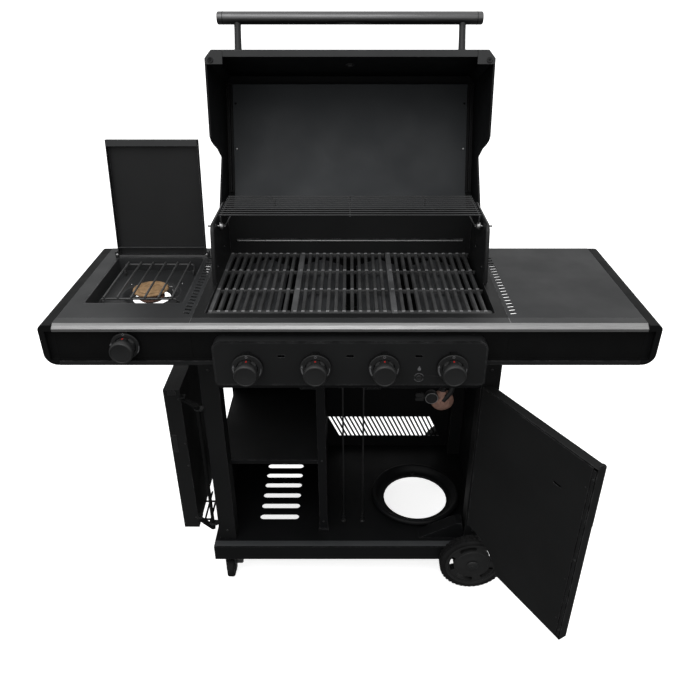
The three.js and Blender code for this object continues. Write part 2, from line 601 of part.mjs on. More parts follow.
// Wedges that take the front corners off the hood, or off its hollow when drawn further in.
function cornerWedges(inset) {
  const { front, frontTop } = HOOD;
  const slope = (frontTop[0] - front[0]) / (frontTop[1] - front[1]);
  return [-1, 1].map((side) => {
    const points = [front[1] - 40, frontTop[1] + 40].flatMap((z) => {
      const x = HOOD_X - inset;
      const y = front[0] + slope * (z - front[1]) + inset;
      return [[x - 2 * CORNER.x, y - CORNER.y], [x + CORNER.x, y + 2 * CORNER.y],
        [x + CORNER.x, y - CORNER.y]].map(([a, b]) => [side * a, b, z]);
    });
    return wasm.Manifold.hull(points);
  });
}

function hood() {
  const { front, frontTop, backTop, backLow } = HOOD;
  const outside = [front, [-70, front[1]], [-58, 940], [-46, 975], [-34, 1020], [-9, 1076], [141, 990],
    [168, 986], [186, 1008], backLow, backTop, [frontTop[0] + 24, frontTop[1] - 4],
    [frontTop[0] + 6, frontTop[1] - 4], [frontTop[0] - 4, frontTop[1] - 14]];
  const w = HOOD_WALL;
  const inside = [[front[0] + w + 2, front[1] - 20], [260, front[1] - 20], [260, backLow[1] - 7],
    [backLow[0] - 6, backLow[1] - 7], [backTop[0] - 2, backTop[1] - w],
    [frontTop[0] + 24, frontTop[1] - 4 - w], [frontTop[0] + 4, frontTop[1] - 14 - w]];
  const hollow = cut(prism("x", inside, -HOOD_X + w, HOOD_X - w), ...cornerWedges(w));
  const shell = cut(prism("x", outside, -HOOD_X, HOOD_X), hollow);
  const lip = box(-HOOD_X + 1, HOOD_X - 1, front[0] + 2, front[0] + 16, front[1], front[1] + 4);
  const holes = [-1, 1].map((side) => rod([side * (HOOD_X - 10), PIVOT.y, PIVOT.z],
    [side * (HOOD_X + 10), PIVOT.y, PIVOT.z], 6.6, 16));
  return cut(union(shell, lip), ...holes, ...cornerWedges(0));
}

function hoodHandle() {
  const { front, frontTop } = HOOD;
  const { up, out, halfX, r, postX } = HANDLE;
  const lean = Math.atan2(frontTop[0] - front[0], frontTop[1] - front[1]);
  const along = [Math.sin(lean), Math.cos(lean)];
  const away = [-Math.cos(lean), Math.sin(lean)];
  const foot = [front[0] + up * along[0] + 2 * GAP * away[0], front[1] + up * along[1]];
  const bar = [foot[0] + out * away[0], foot[1] + out * away[1]];
  const posts = [-postX, postX].map((x) => rod([x, ...foot], [x, ...bar], 9, 12, 7));
  return union(rod([-halfX, ...bar], [halfX, ...bar], r, 24), ...posts);
}

const hoodGroup = turnedGroup([0, PIVOT.y, PIVOT.z], [1, 0, 0], -HOOD_OPEN);
place("hood", hood(), "paint", hoodGroup);
place("hood_handle", hoodHandle(), "steel", hoodGroup);

// ---------- side burner lid, drawn closed ----------
function sideBurnerLid() {
  const { x0, x1, y0, y1, z0, z1, pivot } = LID;
  const pan = box(x0, x1, y0, y1, z0, z1);
  const hollow = box(x0 + 2, x1 - 2, y0 + 2, y1 - 1, z0 - 1, z1 - 2);
  const pinHole = rod([x0 - 1, pivot.y, pivot.z], [x1 + 1, pivot.y, pivot.z], 3, 12);
  return cut(pan, hollow, pinHole);
}

place("side_burner_lid", sideBurnerLid(), "grey",
  turnedGroup([0, LID.pivot.y, LID.pivot.z], [1, 0, 0], -LID_OPEN));

// ---------- doors, drawn closed ----------
function doorPan(x0, x1, y0, top) {
  const pan = box(x0, x1, y0, DOOR.back, DOOR.z0, top);
  const hollow = box(x0 + 2, x1 - 2, y0 + 2, DOOR.back + 1, DOOR.z0 + 2, top - 2);
  return cut(pan, hollow);
}

function doorHandle(x, y0, top) {
  const y = y0 - 28;
  const posts = [top - 60, top - 190].map((z) => rod([x, y, z], [x, y0 + 1, z], 5, 10));
  return union(rod([x, y, top - 210], [x, y, top - 30], 8, 12), ...posts);
}

function rightDoor() {
  const x1 = RIGHT_DOOR.pinX + RIGHT_DOOR.past;
  const y0 = DOOR.back - DOOR.thick;
  const pan = doorPan(x1 - RIGHT_DOOR.width, x1, y0, RIGHT_DOOR.top);
  const wheelArch = rod([WHEEL.x, y0 - 5, WHEEL.r], [WHEEL.x, DOOR.back + 5, WHEEL.r], ARCH_R, 48);
  const latch = box(88, 112, y0 - 1, DOOR.back + 1, 583.5, 588);
  return union(cut(pan, wheelArch, latch), doorHandle(30, y0, RIGHT_DOOR.top));
}

const LEFT_THICK = 45;
const LEFT_PIN = { x: LEFT_DOOR.pinX, y: DOOR.back - LEFT_THICK - 8 };
const LUG_Z = [182, 618];

function leftDoor() {
  const x0 = LEFT_PIN.x + 5;
  const y0 = DOOR.back - LEFT_THICK;
  const pan = doorPan(x0, x0 + DOOR.width, y0, LEFT_DOOR.top);
  const lugs = LUG_Z.map((z) => cut(box(LEFT_PIN.x - 6, x0 + 8, LEFT_PIN.y - 6, y0 + 1, z, z + 5),
    rod([LEFT_PIN.x, LEFT_PIN.y, z - 1], [LEFT_PIN.x, LEFT_PIN.y, z + 6], 3.5, 12)));
  return union(pan, ...lugs, doorHandle(-34, y0, LEFT_DOOR.top));
}

place("right_door", rightDoor(), "grey",
  turnedGroup([RIGHT_DOOR.pinX, DOOR.pinY, 0], [0, 0, 1], RIGHT_DOOR.open));

// The left door hangs on a link with a pin at each end, so that it folds right back beside the cart.
function linkPinAtRest() {
  const dx = LEFT_PIN.x - LINK_PIN.x;
  const dy = LEFT_PIN.y - LINK_PIN.y;
  const angle = Math.atan2(dy, dx) - rad(LINK_SWING);
  const length = Math.hypot(dx, dy);
  return { x: LINK_PIN.x + length * Math.cos(angle), y: LINK_PIN.y + length * Math.sin(angle) };
}

const DOOR_PIN = linkPinAtRest();

function leftDoorGroup() {
  const outer = new THREE.Group();
  outer.position.set(DOOR_PIN.x, DOOR_PIN.y, 0);
  outer.rotation.z = rad(360 - LEFT_DOOR.open);
  const inner = new THREE.Group();
  inner.position.set(-LEFT_PIN.x, -LEFT_PIN.y, 0);
  outer.add(inner);
  group.add(outer);
  return inner;
}

function leftDoorLink() {
  const { x, y } = LINK_PIN;
  const [low, high] = LUG_Z;
  const parts = [rod([x, y, low - 6], [x, y, high - 0.5], 5, 16)];
  for (const z of [low - 6, high - 6]) {
    const across = new THREE.Vector2(DOOR_PIN.x - x, DOOR_PIN.y - y).normalize();
    const side = [-across.y * 7, across.x * 7];
    parts.push(prism("z", [[x - side[0], y - side[1]], [DOOR_PIN.x - side[0], DOOR_PIN.y - side[1]],
      [DOOR_PIN.x + side[0], DOOR_PIN.y + side[1]], [x + side[0], y + side[1]]], z, z + 5.5));
    parts.push(rod([DOOR_PIN.x, DOOR_PIN.y, z], [DOOR_PIN.x, DOOR_PIN.y, z + 12], 3, 12));
    parts.push(rod([DOOR_PIN.x, DOOR_PIN.y, z], [DOOR_PIN.x, DOOR_PIN.y, z + 5.5], 7, 12));
  }
  return union(...parts);
}

place("left_door", leftDoor(), "grey", leftDoorGroup());
place("left_door_link", leftDoorLink(), "steel");

// ---------- running gear ----------
const AXLE_R = 6;
const AXLE_Y = [-284, 318];
const WHEEL_Y = [-278, 278];     // front wheel's outside face, rear wheel's inside face

function sector(rIn, rOut, from, to) {
  const shape = new THREE.Shape();
  shape.absarc(0, 0, rOut, rad(from), rad(to), false);
  shape.absarc(0, 0, rIn, rad(to), rad(from), true);
  shape.closePath();
  return shape;
}

function wheel(y0) {
  const { x, r, width } = WHEEL;
  const bore = AXLE_R + 0.4;
  const profile = [[bore, 0], [27, 0], [29, 6], [78, 6], [80, 0], [90, 0], [r, 5], [r, width - 5],
    [90, width], [80, width], [78, width - 6], [29, width - 6], [27, width], [bore, width], [bore, 0]];
  const disc = turned(profile, [x, y0, r], [0, 1, 0], 32);
  const slots = [];
  for (let i = 0; i < 5; i += 1) {
    const slot = prism("y", sector(54, 68, 72 * i + 8, 72 * i + 60), y0 - 1, y0 + width + 1, 3);
    slots.push(slot.translate([x, 0, r]));
  }
  return cut(disc, ...slots);
}

function casterFork(y) {
  const { x, r, width } = CASTER;
  const axle = y - 20;
  const half = width / 2 + 1;
  const crown = box(x - half - 3, x + half + 3, axle - 8, y + 18, BASE.z0 - 8, BASE.z0 - 1);
  const stem = rod([x, y, BASE.z0 - 2], [x, y, BASE.z1 - 6], 6, 12);
  const cheeks = [-half - 3, half].map((side) =>
    prism("x", [[axle - 9, r - 9], [axle + 9, r - 9], [y + 16, BASE.z0 - 7], [axle - 8, BASE.z0 - 7]],
      x + side, x + side + 3));
  const pin = rod([x - half - 2, axle, r], [x + half + 2, axle, r], 3, 12);
  const brake = prism("x", [[axle + 2, r + 12], [axle + 20, r - 1], [axle + 24, r + 6], [axle + 8, r + 18]],
    x + half + 1, x + half + 21);
  return union(crown, stem, ...cheeks, pin, brake);
}

function casterWheel(y) {
  const { x, r, width } = CASTER;
  const half = width / 2;
  const profile = [[3.4, -half], [r - 3, -half], [r, -half + 3], [r, half - 3], [r - 3, half], [3.4, half],
    [3.4, -half]];
  return turned(profile, [x, y - 20, r], [1, 0, 0], 28);
}

const CASTER_Y = { front: -200, rear: 242 };

place("wheel_axle", rod([WHEEL.x, AXLE_Y[0], WHEEL.r], [WHEEL.x, AXLE_Y[1], WHEEL.r], AXLE_R, 16), "steel");
place("wheel_front", wheel(WHEEL_Y[0]), "tyre");
place("wheel_rear", wheel(WHEEL_Y[1]), "tyre");
for (const [end, y] of Object.entries(CASTER_Y)) {
  place(`caster_fork_${end}`, casterFork(y), "steel");
  place(`caster_wheel_${end}`, casterWheel(y), "tyre");
}

group.position.y = -ORIGIN_Y;

export default group;
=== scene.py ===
"""Gas barbecue grill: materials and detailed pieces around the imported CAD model.

Shapes are given in millimetres of the CAD frame and turned into metres when a piece is made.
Pieces on the hood, lid and doors are drawn with that body closed, and then moved to its place at rest.
"""

import json
import math

import bmesh
import bpy
from mathutils import Matrix, Vector
from mathutils.geometry import tessellate_polygon

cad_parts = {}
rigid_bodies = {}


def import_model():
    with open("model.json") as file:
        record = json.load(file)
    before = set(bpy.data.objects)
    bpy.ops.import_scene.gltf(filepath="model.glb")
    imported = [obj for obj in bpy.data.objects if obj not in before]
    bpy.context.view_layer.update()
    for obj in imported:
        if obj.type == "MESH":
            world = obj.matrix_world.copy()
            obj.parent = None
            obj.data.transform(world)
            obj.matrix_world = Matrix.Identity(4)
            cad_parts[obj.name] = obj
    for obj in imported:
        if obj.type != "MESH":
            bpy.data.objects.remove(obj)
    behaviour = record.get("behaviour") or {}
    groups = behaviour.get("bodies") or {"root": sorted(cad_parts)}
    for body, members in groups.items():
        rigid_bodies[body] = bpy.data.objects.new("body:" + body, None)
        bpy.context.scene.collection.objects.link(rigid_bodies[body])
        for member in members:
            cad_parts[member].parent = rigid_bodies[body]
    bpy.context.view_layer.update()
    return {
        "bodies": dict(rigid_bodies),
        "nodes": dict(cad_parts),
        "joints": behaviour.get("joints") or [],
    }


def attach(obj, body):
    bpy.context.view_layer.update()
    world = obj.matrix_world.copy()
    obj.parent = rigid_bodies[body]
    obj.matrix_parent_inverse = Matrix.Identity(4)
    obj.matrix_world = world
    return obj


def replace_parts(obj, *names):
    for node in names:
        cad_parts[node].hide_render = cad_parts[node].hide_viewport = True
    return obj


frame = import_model()
NODES = frame["nodes"]
JOINTS = {joint["name"]: joint for joint in frame["joints"]}
MM = 0.001

# ---------- driving sizes, mm ----------
CAMERA = {"place": (0.0, -1.616, 1.650), "tilt": 60, "lens": 35, "sensor": 36}   # place in m
SHEET = 3                  # folded sheet steel
BASE_HEIGHT = 51
CATCH_X = (-110, 60)       # magnet catches of the left and right door
FIREBOX_WALL_X = 351
BACK_WALL_X = 325
SEAM_Z = 944               # dark seam across the firebox's back wall
HOOD_FRONT_TOP = (47, 4)   # inside corners (y, z) from the front top corner of the closed hood's box
HOOD_ROOF_BACK = (374, -52)
LINER_X = 340
HANDLE_R = 16
HANDLE_POST_X = 290
HANDLE_REACH = 94          # from the bar's centre to the hood
PANEL_CORNERS = (10, 20)   # low and top
PANEL_STEP = 5             # from the front of the dials back to the panel's face
LAMP = {"x": (-160.5, 0, 160.5), "z": 846, "half": (9, 2.6)}
DIAL_R = 36.5
SIDE_DIAL_R = 33.5
KNOB_DEPTH = 42
KNOB_BACK_R = 24
KNOB_FRONT_R = 28
DIAL_DEPTH = 11
PRINT = 0.25               # printed marks are this thick
GRATE_BAR = 10
GRATE_PITCH = 20
GRATE_DEPTH = 12
GRATE_RIBS = (-136, -9, 114, 236)
RACK_DEPTH = 157
RACK_RODS = 10
RACK_FOOT_X = 210
RIVET_R = 3.2
WHEEL_ARCH_R = 122
LATCH_SLOT = ((88, 582), (112, 588))   # low and high corner, (x, z)
LEFT_DOOR_WIDTH = 370
HUB_R = 75
HUB_WINDOW = (54, 67)      # inner and outer radius of the wheel's curved windows

UP, DOWN = (0, 0, 1), (0, 0, -1)
FORWARD, BACKWARD = (0, -1, 0), (0, 1, 0)
ACROSS = (1, 0, 0)


# ---------- camera, light and floor ----------
def make_camera():
    data = bpy.data.cameras.new("camera")
    data.lens = CAMERA["lens"]
    data.sensor_width = CAMERA["sensor"]
    data.clip_start, data.clip_end = 0.05, 1000
    camera = bpy.data.objects.new("camera", data)
    camera.location = CAMERA["place"]
    camera.rotation_euler = (math.radians(CAMERA["tilt"]), 0, 0)
    bpy.context.scene.collection.objects.link(camera)
    bpy.context.scene.camera = camera


def area_light(name, place, target, size, power):
    data = bpy.data.lights.new(name, "AREA")
    data.shape = "RECTANGLE"
    data.size, data.size_y = size
    data.energy = power
    light = bpy.data.objects.new(name, data)
    light.location = place
    light.rotation_euler = (Vector(target) - Vector(place)).to_track_quat("-Z", "Y").to_euler()
    bpy.context.scene.collection.objects.link(light)


def make_world(sky, ground):
    """A studio that is bright above the horizon and dim below it."""
    world = bpy.data.worlds.new("studio")
    world.use_nodes = True
    tree = world.node_tree
    background = tree.nodes["Background"]
    background.inputs["Color"].default_value = (1, 1, 1, 1)
    place = tree.nodes.new("ShaderNodeTexCoord")
    split = tree.nodes.new("ShaderNodeSeparateXYZ")
    ramp = tree.nodes.new("ShaderNodeMapRange")
    ramp.inputs["From Min"].default_value = -0.12
    ramp.inputs["From Max"].default_value = 0.12
    ramp.inputs["To Min"].default_value = ground
    ramp.inputs["To Max"].default_value = sky
    tree.links.new(place.outputs["Generated"], split.inputs[0])
    tree.links.new(split.outputs["Z"], ramp.inputs["Value"])
    tree.links.new(ramp.outputs["Result"], background.inputs["Strength"])
    bpy.context.scene.world = world


def make_floor():
    size = 400
    mesh = bpy.data.meshes.new("floor")
    corners = [(-size, -size, 0), (size, -size, 0), (size, size, 0), (-size, size, 0)]
    mesh.from_pydata(corners, [], [(0, 1, 2, 3)])
    floor = bpy.data.objects.new("floor", mesh)
    bpy.context.scene.collection.objects.link(floor)
    paint = bpy.data.materials.new("floor_paint")
    paint.use_nodes = True
    shader = paint.node_tree.nodes["Principled BSDF"]
    shader.inputs["Base Color"].default_value = (0.93, 0.93, 0.93, 1)
    shader.inputs["Roughness"].default_value = 0.9
    shader.inputs["Specular IOR Level"].default_value = 0.1
    shader.inputs["Emission Color"].default_value = (1, 1, 1, 1)
    shader.inputs["Emission Strength"].default_value = 0.75
    mesh.materials.append(paint)
    floor.visible_glossy = False
    floor.visible_diffuse = False


# ---------- materials ----------
class Finish:
    """A Principled material whose colour, roughness, bump and lighter edges come from nodes; the edge colour
    is partly rubbed paint and partly a painted highlight.
    """

    def __init__(self, metallic=0.0, specular=0.5):
        self.material = bpy.data.materials.new("finish")
        self.material.use_nodes = True
        self.tree = self.material.node_tree
        self.shader = self.tree.nodes["Principled BSDF"]
        self.shader.inputs["Metallic"].default_value = metallic
        self.shader.inputs["Specular IOR Level"].default_value = specular

    def node(self, kind, **values):
        made = self.tree.nodes.new(kind)
        for key, value in values.items():
            made.inputs[key.replace("_", " ")].default_value = value
        return made

    def noise(self, scale, detail=3.0, stretch=(1, 1, 1)):
        place = self.node("ShaderNodeTexCoord")
        mapping = self.node("ShaderNodeMapping", Scale=stretch)
        noise = self.node("ShaderNodeTexNoise", Scale=scale, Detail=detail)
        self.tree.links.new(place.outputs["Object"], mapping.inputs["Vector"])
        self.tree.links.new(mapping.outputs["Vector"], noise.inputs["Vector"])
        return noise.outputs["Fac"]

    def spread(self, value, low, high, source=(0.35, 0.65)):
        ramp = self.node("ShaderNodeMapRange", From_Min=source[0], From_Max=source[1],
                         To_Min=low, To_Max=high)
        self.tree.links.new(value, ramp.inputs["Value"])
        return ramp.outputs["Result"]

    def blend(self, factor, first, second):
        mix = self.tree.nodes.new("ShaderNodeMix")
        mix.data_type = "RGBA"
        for socket, value in ((mix.inputs["A"], first), (mix.inputs["B"], second)):
            if isinstance(value, tuple):
                socket.default_value = (*value, 1)
            else:
                self.tree.links.new(value, socket)
        self.tree.links.new(factor, mix.inputs["Factor"])
        return mix.outputs["Result"]

    def colour(self, base, variation, scale, stretch=(1, 1, 1)):
        dark = tuple(channel * (1 - variation) for channel in base)
        light = tuple(channel * (1 + variation) for channel in base)
        return self.blend(self.spread(self.noise(scale, 4.0, stretch), 0, 1), dark, light)

    def edges(self, radius):
        """1 on sharp edges and 0 on flat faces, broken up by noise: it marks both rubbed edges and a painted
        highlight along them.
        """
        bevel = self.node("ShaderNodeBevel", Radius=radius)
        bevel.samples = 3
        surface = self.tree.nodes.new("ShaderNodeNewGeometry")
        dot = self.tree.nodes.new("ShaderNodeVectorMath")
        dot.operation = "DOT_PRODUCT"
        self.tree.links.new(bevel.outputs["Normal"], dot.inputs[0])
        self.tree.links.new(surface.outputs["Normal"], dot.inputs[1])
        sharp = self.spread(dot.outputs["Value"], 1, 0, (0.72, 0.96))
        patch = self.spread(self.noise(45, 4.0), 0, 1)
        both = self.tree.nodes.new("ShaderNodeMath")
        both.operation = "MULTIPLY"
        self.tree.links.new(sharp, both.inputs[0])
        self.tree.links.new(patch, both.inputs[1])
        return both.outputs["Value"]

    def set(self, colour, roughness, grain=None, bump=0.0, depth=0.0002):
        self.tree.links.new(colour, self.shader.inputs["Base Color"])
        self.tree.links.new(roughness, self.shader.inputs["Roughness"])
        if grain is not None:
            relief = self.node("ShaderNodeBump", Strength=bump, Distance=depth)
            self.tree.links.new(grain, relief.inputs["Height"])
            self.tree.links.new(relief.outputs["Normal"], self.shader.inputs["Normal"])
        return self.material


def powder_coat(base, roughness, specular=0.5, grain=900, bump=0.12, wear_and_highlight=(0.16, 0.16, 0.165)):
    """Sprayed and baked paint: fine orange peel, faint clouds, and lighter edges that are partly rubbed
    paint and partly a painted highlight.
    """
    finish = Finish(specular=specular)
    # The paler edge colour is partly rubbed paint and partly a painted highlight along sharp edges.
    colour = finish.blend(finish.edges(0.0016), finish.colour(base, 0.12, 5), wear_and_highlight)
    rough = finish.spread(finish.noise(9, 5.0), roughness - 0.05, roughness + 0.06)
    return finish.set(colour, rough, finish.noise(grain, 2.0), bump)


def brushed_metal(base, roughness, stretch, bump=0.05, scale=60):
    """Steel with fine lines in one direction."""
    finish = Finish(metallic=1.0)
    streaks = finish.noise(scale, 6.0, stretch)
    colour = finish.blend(finish.spread(streaks, 0, 1), tuple(0.82 * c for c in base),
                          tuple(1.12 * c for c in base))
    rough = finish.spread(finish.noise(scale * 0.6, 5.0, stretch), roughness - 0.07, roughness + 0.09)
    return finish.set(colour, rough, streaks, bump, 0.0001)


def moulded_plastic(base, roughness, specular, grain=1400, bump=0.18):
    """Black plastic or textured moulding with a spark-eroded grain."""
    finish = Finish(specular=specular)
    # Paler edge colour: partly rubbed plastic, partly a painted highlight along sharp edges.
    worn_and_lit = tuple(2.2 * c + 0.01 for c in base)
    colour = finish.blend(finish.edges(0.001), finish.colour(base, 0.14, 12), worn_and_lit)
    rough = finish.spread(finish.noise(22, 4.0), roughness - 0.05, roughness + 0.05)
    return finish.set(colour, rough, finish.noise(grain, 3.0), bump)


def enamelled_iron(base, roughness, specular):
    """Casting under matt enamel: lumpy skin, small pits, burnt patches."""
    finish = Finish(specular=specular)
    burnt = finish.spread(finish.noise(14, 5.0), 0, 1)
    colour = finish.blend(burnt, base, tuple(0.55 * c for c in base))
    # Paler edges: partly rubbed enamel, partly a painted highlight along sharp edges.
    colour = finish.blend(finish.edges(0.0012), colour, (0.10, 0.098, 0.095))
    rough = finish.spread(finish.noise(60, 4.0), roughness - 0.08, roughness + 0.1)
    return finish.set(colour, rough, finish.noise(330, 5.0), 0.35, 0.0005)


def cast_brass(base):
    """Unpolished brass: sandy skin with soot marks."""
    finish = Finish(metallic=0.35, specular=0.4)
    soot = finish.spread(finish.noise(38, 5.0), 0, 1, (0.55, 0.72))
    colour = finish.blend(soot, finish.colour(base, 0.16, 90), tuple(0.42 * c for c in base))
    rough = finish.spread(finish.noise(120, 4.0), 0.5, 0.7)
    return finish.set(colour, rough, finish.noise(700, 4.0), 0.4, 0.0004)


def rubber(base):
    """Tyre rubber with dusty patches."""
    finish = Finish(specular=0.25)
    dust = finish.spread(finish.noise(16, 5.0), 0, 1, (0.5, 0.75))
    colour = finish.blend(dust, base, tuple(2.2 * c for c in base))
    rough = finish.spread(finish.noise(40, 3.0), 0.7, 0.9)
    return finish.set(colour, rough, finish.noise(600, 3.0), 0.25, 0.0003)


def printed(base):
    """Screen-printed marks, slightly uneven."""
    finish = Finish(specular=0.3)
    rough = finish.spread(finish.noise(80, 3.0), 0.5, 0.65)
    return finish.set(finish.colour(base, 0.15, 300), rough, finish.noise(1200, 2.0), 0.05)


def glass():
    """Dark dial glass."""
    finish = Finish(specular=0.6)
    rough = finish.spread(finish.noise(30, 3.0), 0.08, 0.16)
    return finish.set(finish.colour((0.02, 0.021, 0.023), 0.1, 20), rough)


FINISHES = {
    "paint_black": powder_coat((0.0052, 0.0055, 0.006), 0.52, 0.18),
    # The hood's paler edge colour is dimmer: partly rubbed paint, partly painted highlight.
    "hood_black": powder_coat((0.0042, 0.0045, 0.005), 0.48, 0.2, wear_and_highlight=(0.06, 0.06, 0.062)),
    "paint_satin": powder_coat((0.0072, 0.0075, 0.0078), 0.50, 0.24),
    "lid_satin": powder_coat((0.0105, 0.0108, 0.0112), 0.50, 0.26),
    "door_satin": powder_coat((0.0105, 0.0108, 0.011), 0.62, 0.2),
    "shelf_grey": powder_coat((0.0195, 0.0206, 0.0218), 0.54, 0.36, grain=1200),
    "lip_grey": powder_coat((0.027, 0.028, 0.029), 0.5, 0.45),
    # Lighter grey for the base's front rim: a painted highlight on what is the same black paint.
    "rim_painted_highlight": powder_coat((0.044, 0.0465, 0.049), 0.5, 0.4),
    "liner": powder_coat((0.0245, 0.0275, 0.0305), 0.5, 0.3, bump=0.06),
    "trim_steel": brushed_metal((0.37, 0.37, 0.37), 0.33, (0.4, 30, 30)),
    "handle_steel": brushed_metal((0.155, 0.155, 0.157), 0.30, (0.5, 25, 25), bump=0.02),
    "bright_steel": brushed_metal((0.45, 0.45, 0.45), 0.32, (8, 8, 8)),
    "fascia_plastic": moulded_plastic((0.0042, 0.0043, 0.0044), 0.72, 0.12, 900, 0.5),
    "cap_plastic": moulded_plastic((0.0042, 0.0044, 0.0046), 0.64, 0.14),
    "dial_grey": moulded_plastic((0.016, 0.0163, 0.0166), 0.5, 0.35),
    "panel_plastic": powder_coat((0.0118, 0.0122, 0.0126), 0.5, 0.24),
    "knob_plastic": moulded_plastic((0.0145, 0.0148, 0.0151), 0.42, 0.42),
    "cast_iron": enamelled_iron((0.062, 0.0627, 0.0635), 0.42, 0.6),
    "border_iron": enamelled_iron((0.105, 0.106, 0.108), 0.42, 0.6),
    # Pale rib marks on the grates: painted highlights for glints off the ribs.
    "rib_painted_highlight": powder_coat((0.30, 0.30, 0.305), 0.4, 0.5),
    "rack_wire": powder_coat((0.042, 0.0425, 0.0435), 0.38, 0.5),
    "wire_steel": powder_coat((0.0125, 0.0128, 0.0132), 0.42, 0.4),
    "tamer_grey": powder_coat((0.085, 0.0875, 0.092), 0.45, 0.5, grain=300),
    "brass": cast_brass((0.50, 0.315, 0.165)),
    "copper": cast_brass((0.42, 0.245, 0.19)),
    "tyre": rubber((0.0055, 0.0055, 0.0057)),
    "hub": moulded_plastic((0.0145, 0.0148, 0.015), 0.5, 0.4),
    "print_grey": printed((0.15, 0.15, 0.155)),
    "print_red": printed((0.42, 0.012, 0.01)),
    "dial_glass": glass(),
}

for finish_name, material in FINISHES.items():
    material.name = finish_name


# ---------- placing ----------
def box(node, still=Matrix.Identity(4)):
    """Lowest and highest corner of a CAD node in mm. With still, the box before that move."""
    back = still.inverted()
    points = [back @ (v.co * 1000) for v in NODES[node].data.vertices]
    low = Vector(min(p[i] for p in points) for i in range(3))
    high = Vector(max(p[i] for p in points) for i in range(3))
    return low, high


def centre(node, still=Matrix.Identity(4)):
    low, high = box(node, still)
    return (low + high) / 2


def from_closed(*steps):
    """The move in mm that takes a shape drawn with its body closed to its place at rest.

    Each step is a joint, from the cart outwards, and the limit, 0 or 1, at which it is closed.
    """
    total = Matrix.Identity(4)
    for name, limit in steps:
        joint = JOINTS[name]
        pivot = Matrix.Translation(Vector(joint["pos_m"]) * 1000)
        turn = Matrix.Rotation(math.radians(joint["range_deg"][limit]), 4, Vector(joint["axis"]))
        total = total @ pivot @ turn @ pivot.inverted()
    return total.inverted()


HOOD = from_closed(("hood_hinge", 1))
LID = from_closed(("side_burner_lid_hinge", 1))
RIGHT_DOOR = from_closed(("right_door_hinge", 0))
LEFT_DOOR = from_closed(("left_door_link_hinge", 1), ("left_door_hinge", 1))


# ---------- outlines ----------
def arc(a, b, radius, start, end, steps=12):
    """Points on an arc about (a, b), from start to end degrees."""
    turns = [math.radians(start + (end - start) * i / steps) for i in range(steps + 1)]
    return [(a + radius * math.cos(t), b + radius * math.sin(t)) for t in turns]


def circle(a, b, radius, steps=32):
    return arc(a, b, radius, 0, 360 * (steps - 1) / steps, steps - 1)


def rounded(a0, a1, b0, b1, radius, steps=10):
    """Rectangle with round corners."""
    return [
        *arc(a1 - radius, b0 + radius, radius, -90, 0, steps),
        *arc(a1 - radius, b1 - radius, radius, 0, 90, steps),
        *arc(a0 + radius, b1 - radius, radius, 90, 180, steps),
        *arc(a0 + radius, b0 + radius, radius, 180, 270, steps),
    ]


def sector(a, b, inner, outer, start, end, steps=12):
    """A curved band between two radii."""
    return [*arc(a, b, outer, start, end, steps), *arc(a, b, inner, end, start, steps)]


def bend(points, radius, steps=5):
    """The same path with its inner corners rounded."""
    path = [Vector(p) for p in points]
    rounded_path = [path[0]]
    for before, corner, after in zip(path, path[1:], path[2:]):
        start = corner + (before - corner).normalized() * radius
        end = corner + (after - corner).normalized() * radius
        for i in range(steps + 1):
            t = i / steps
            rounded_path.append(start * (1 - t) ** 2 + corner * 2 * t * (1 - t) + end * t ** 2)
    return [*rounded_path, path[-1]]


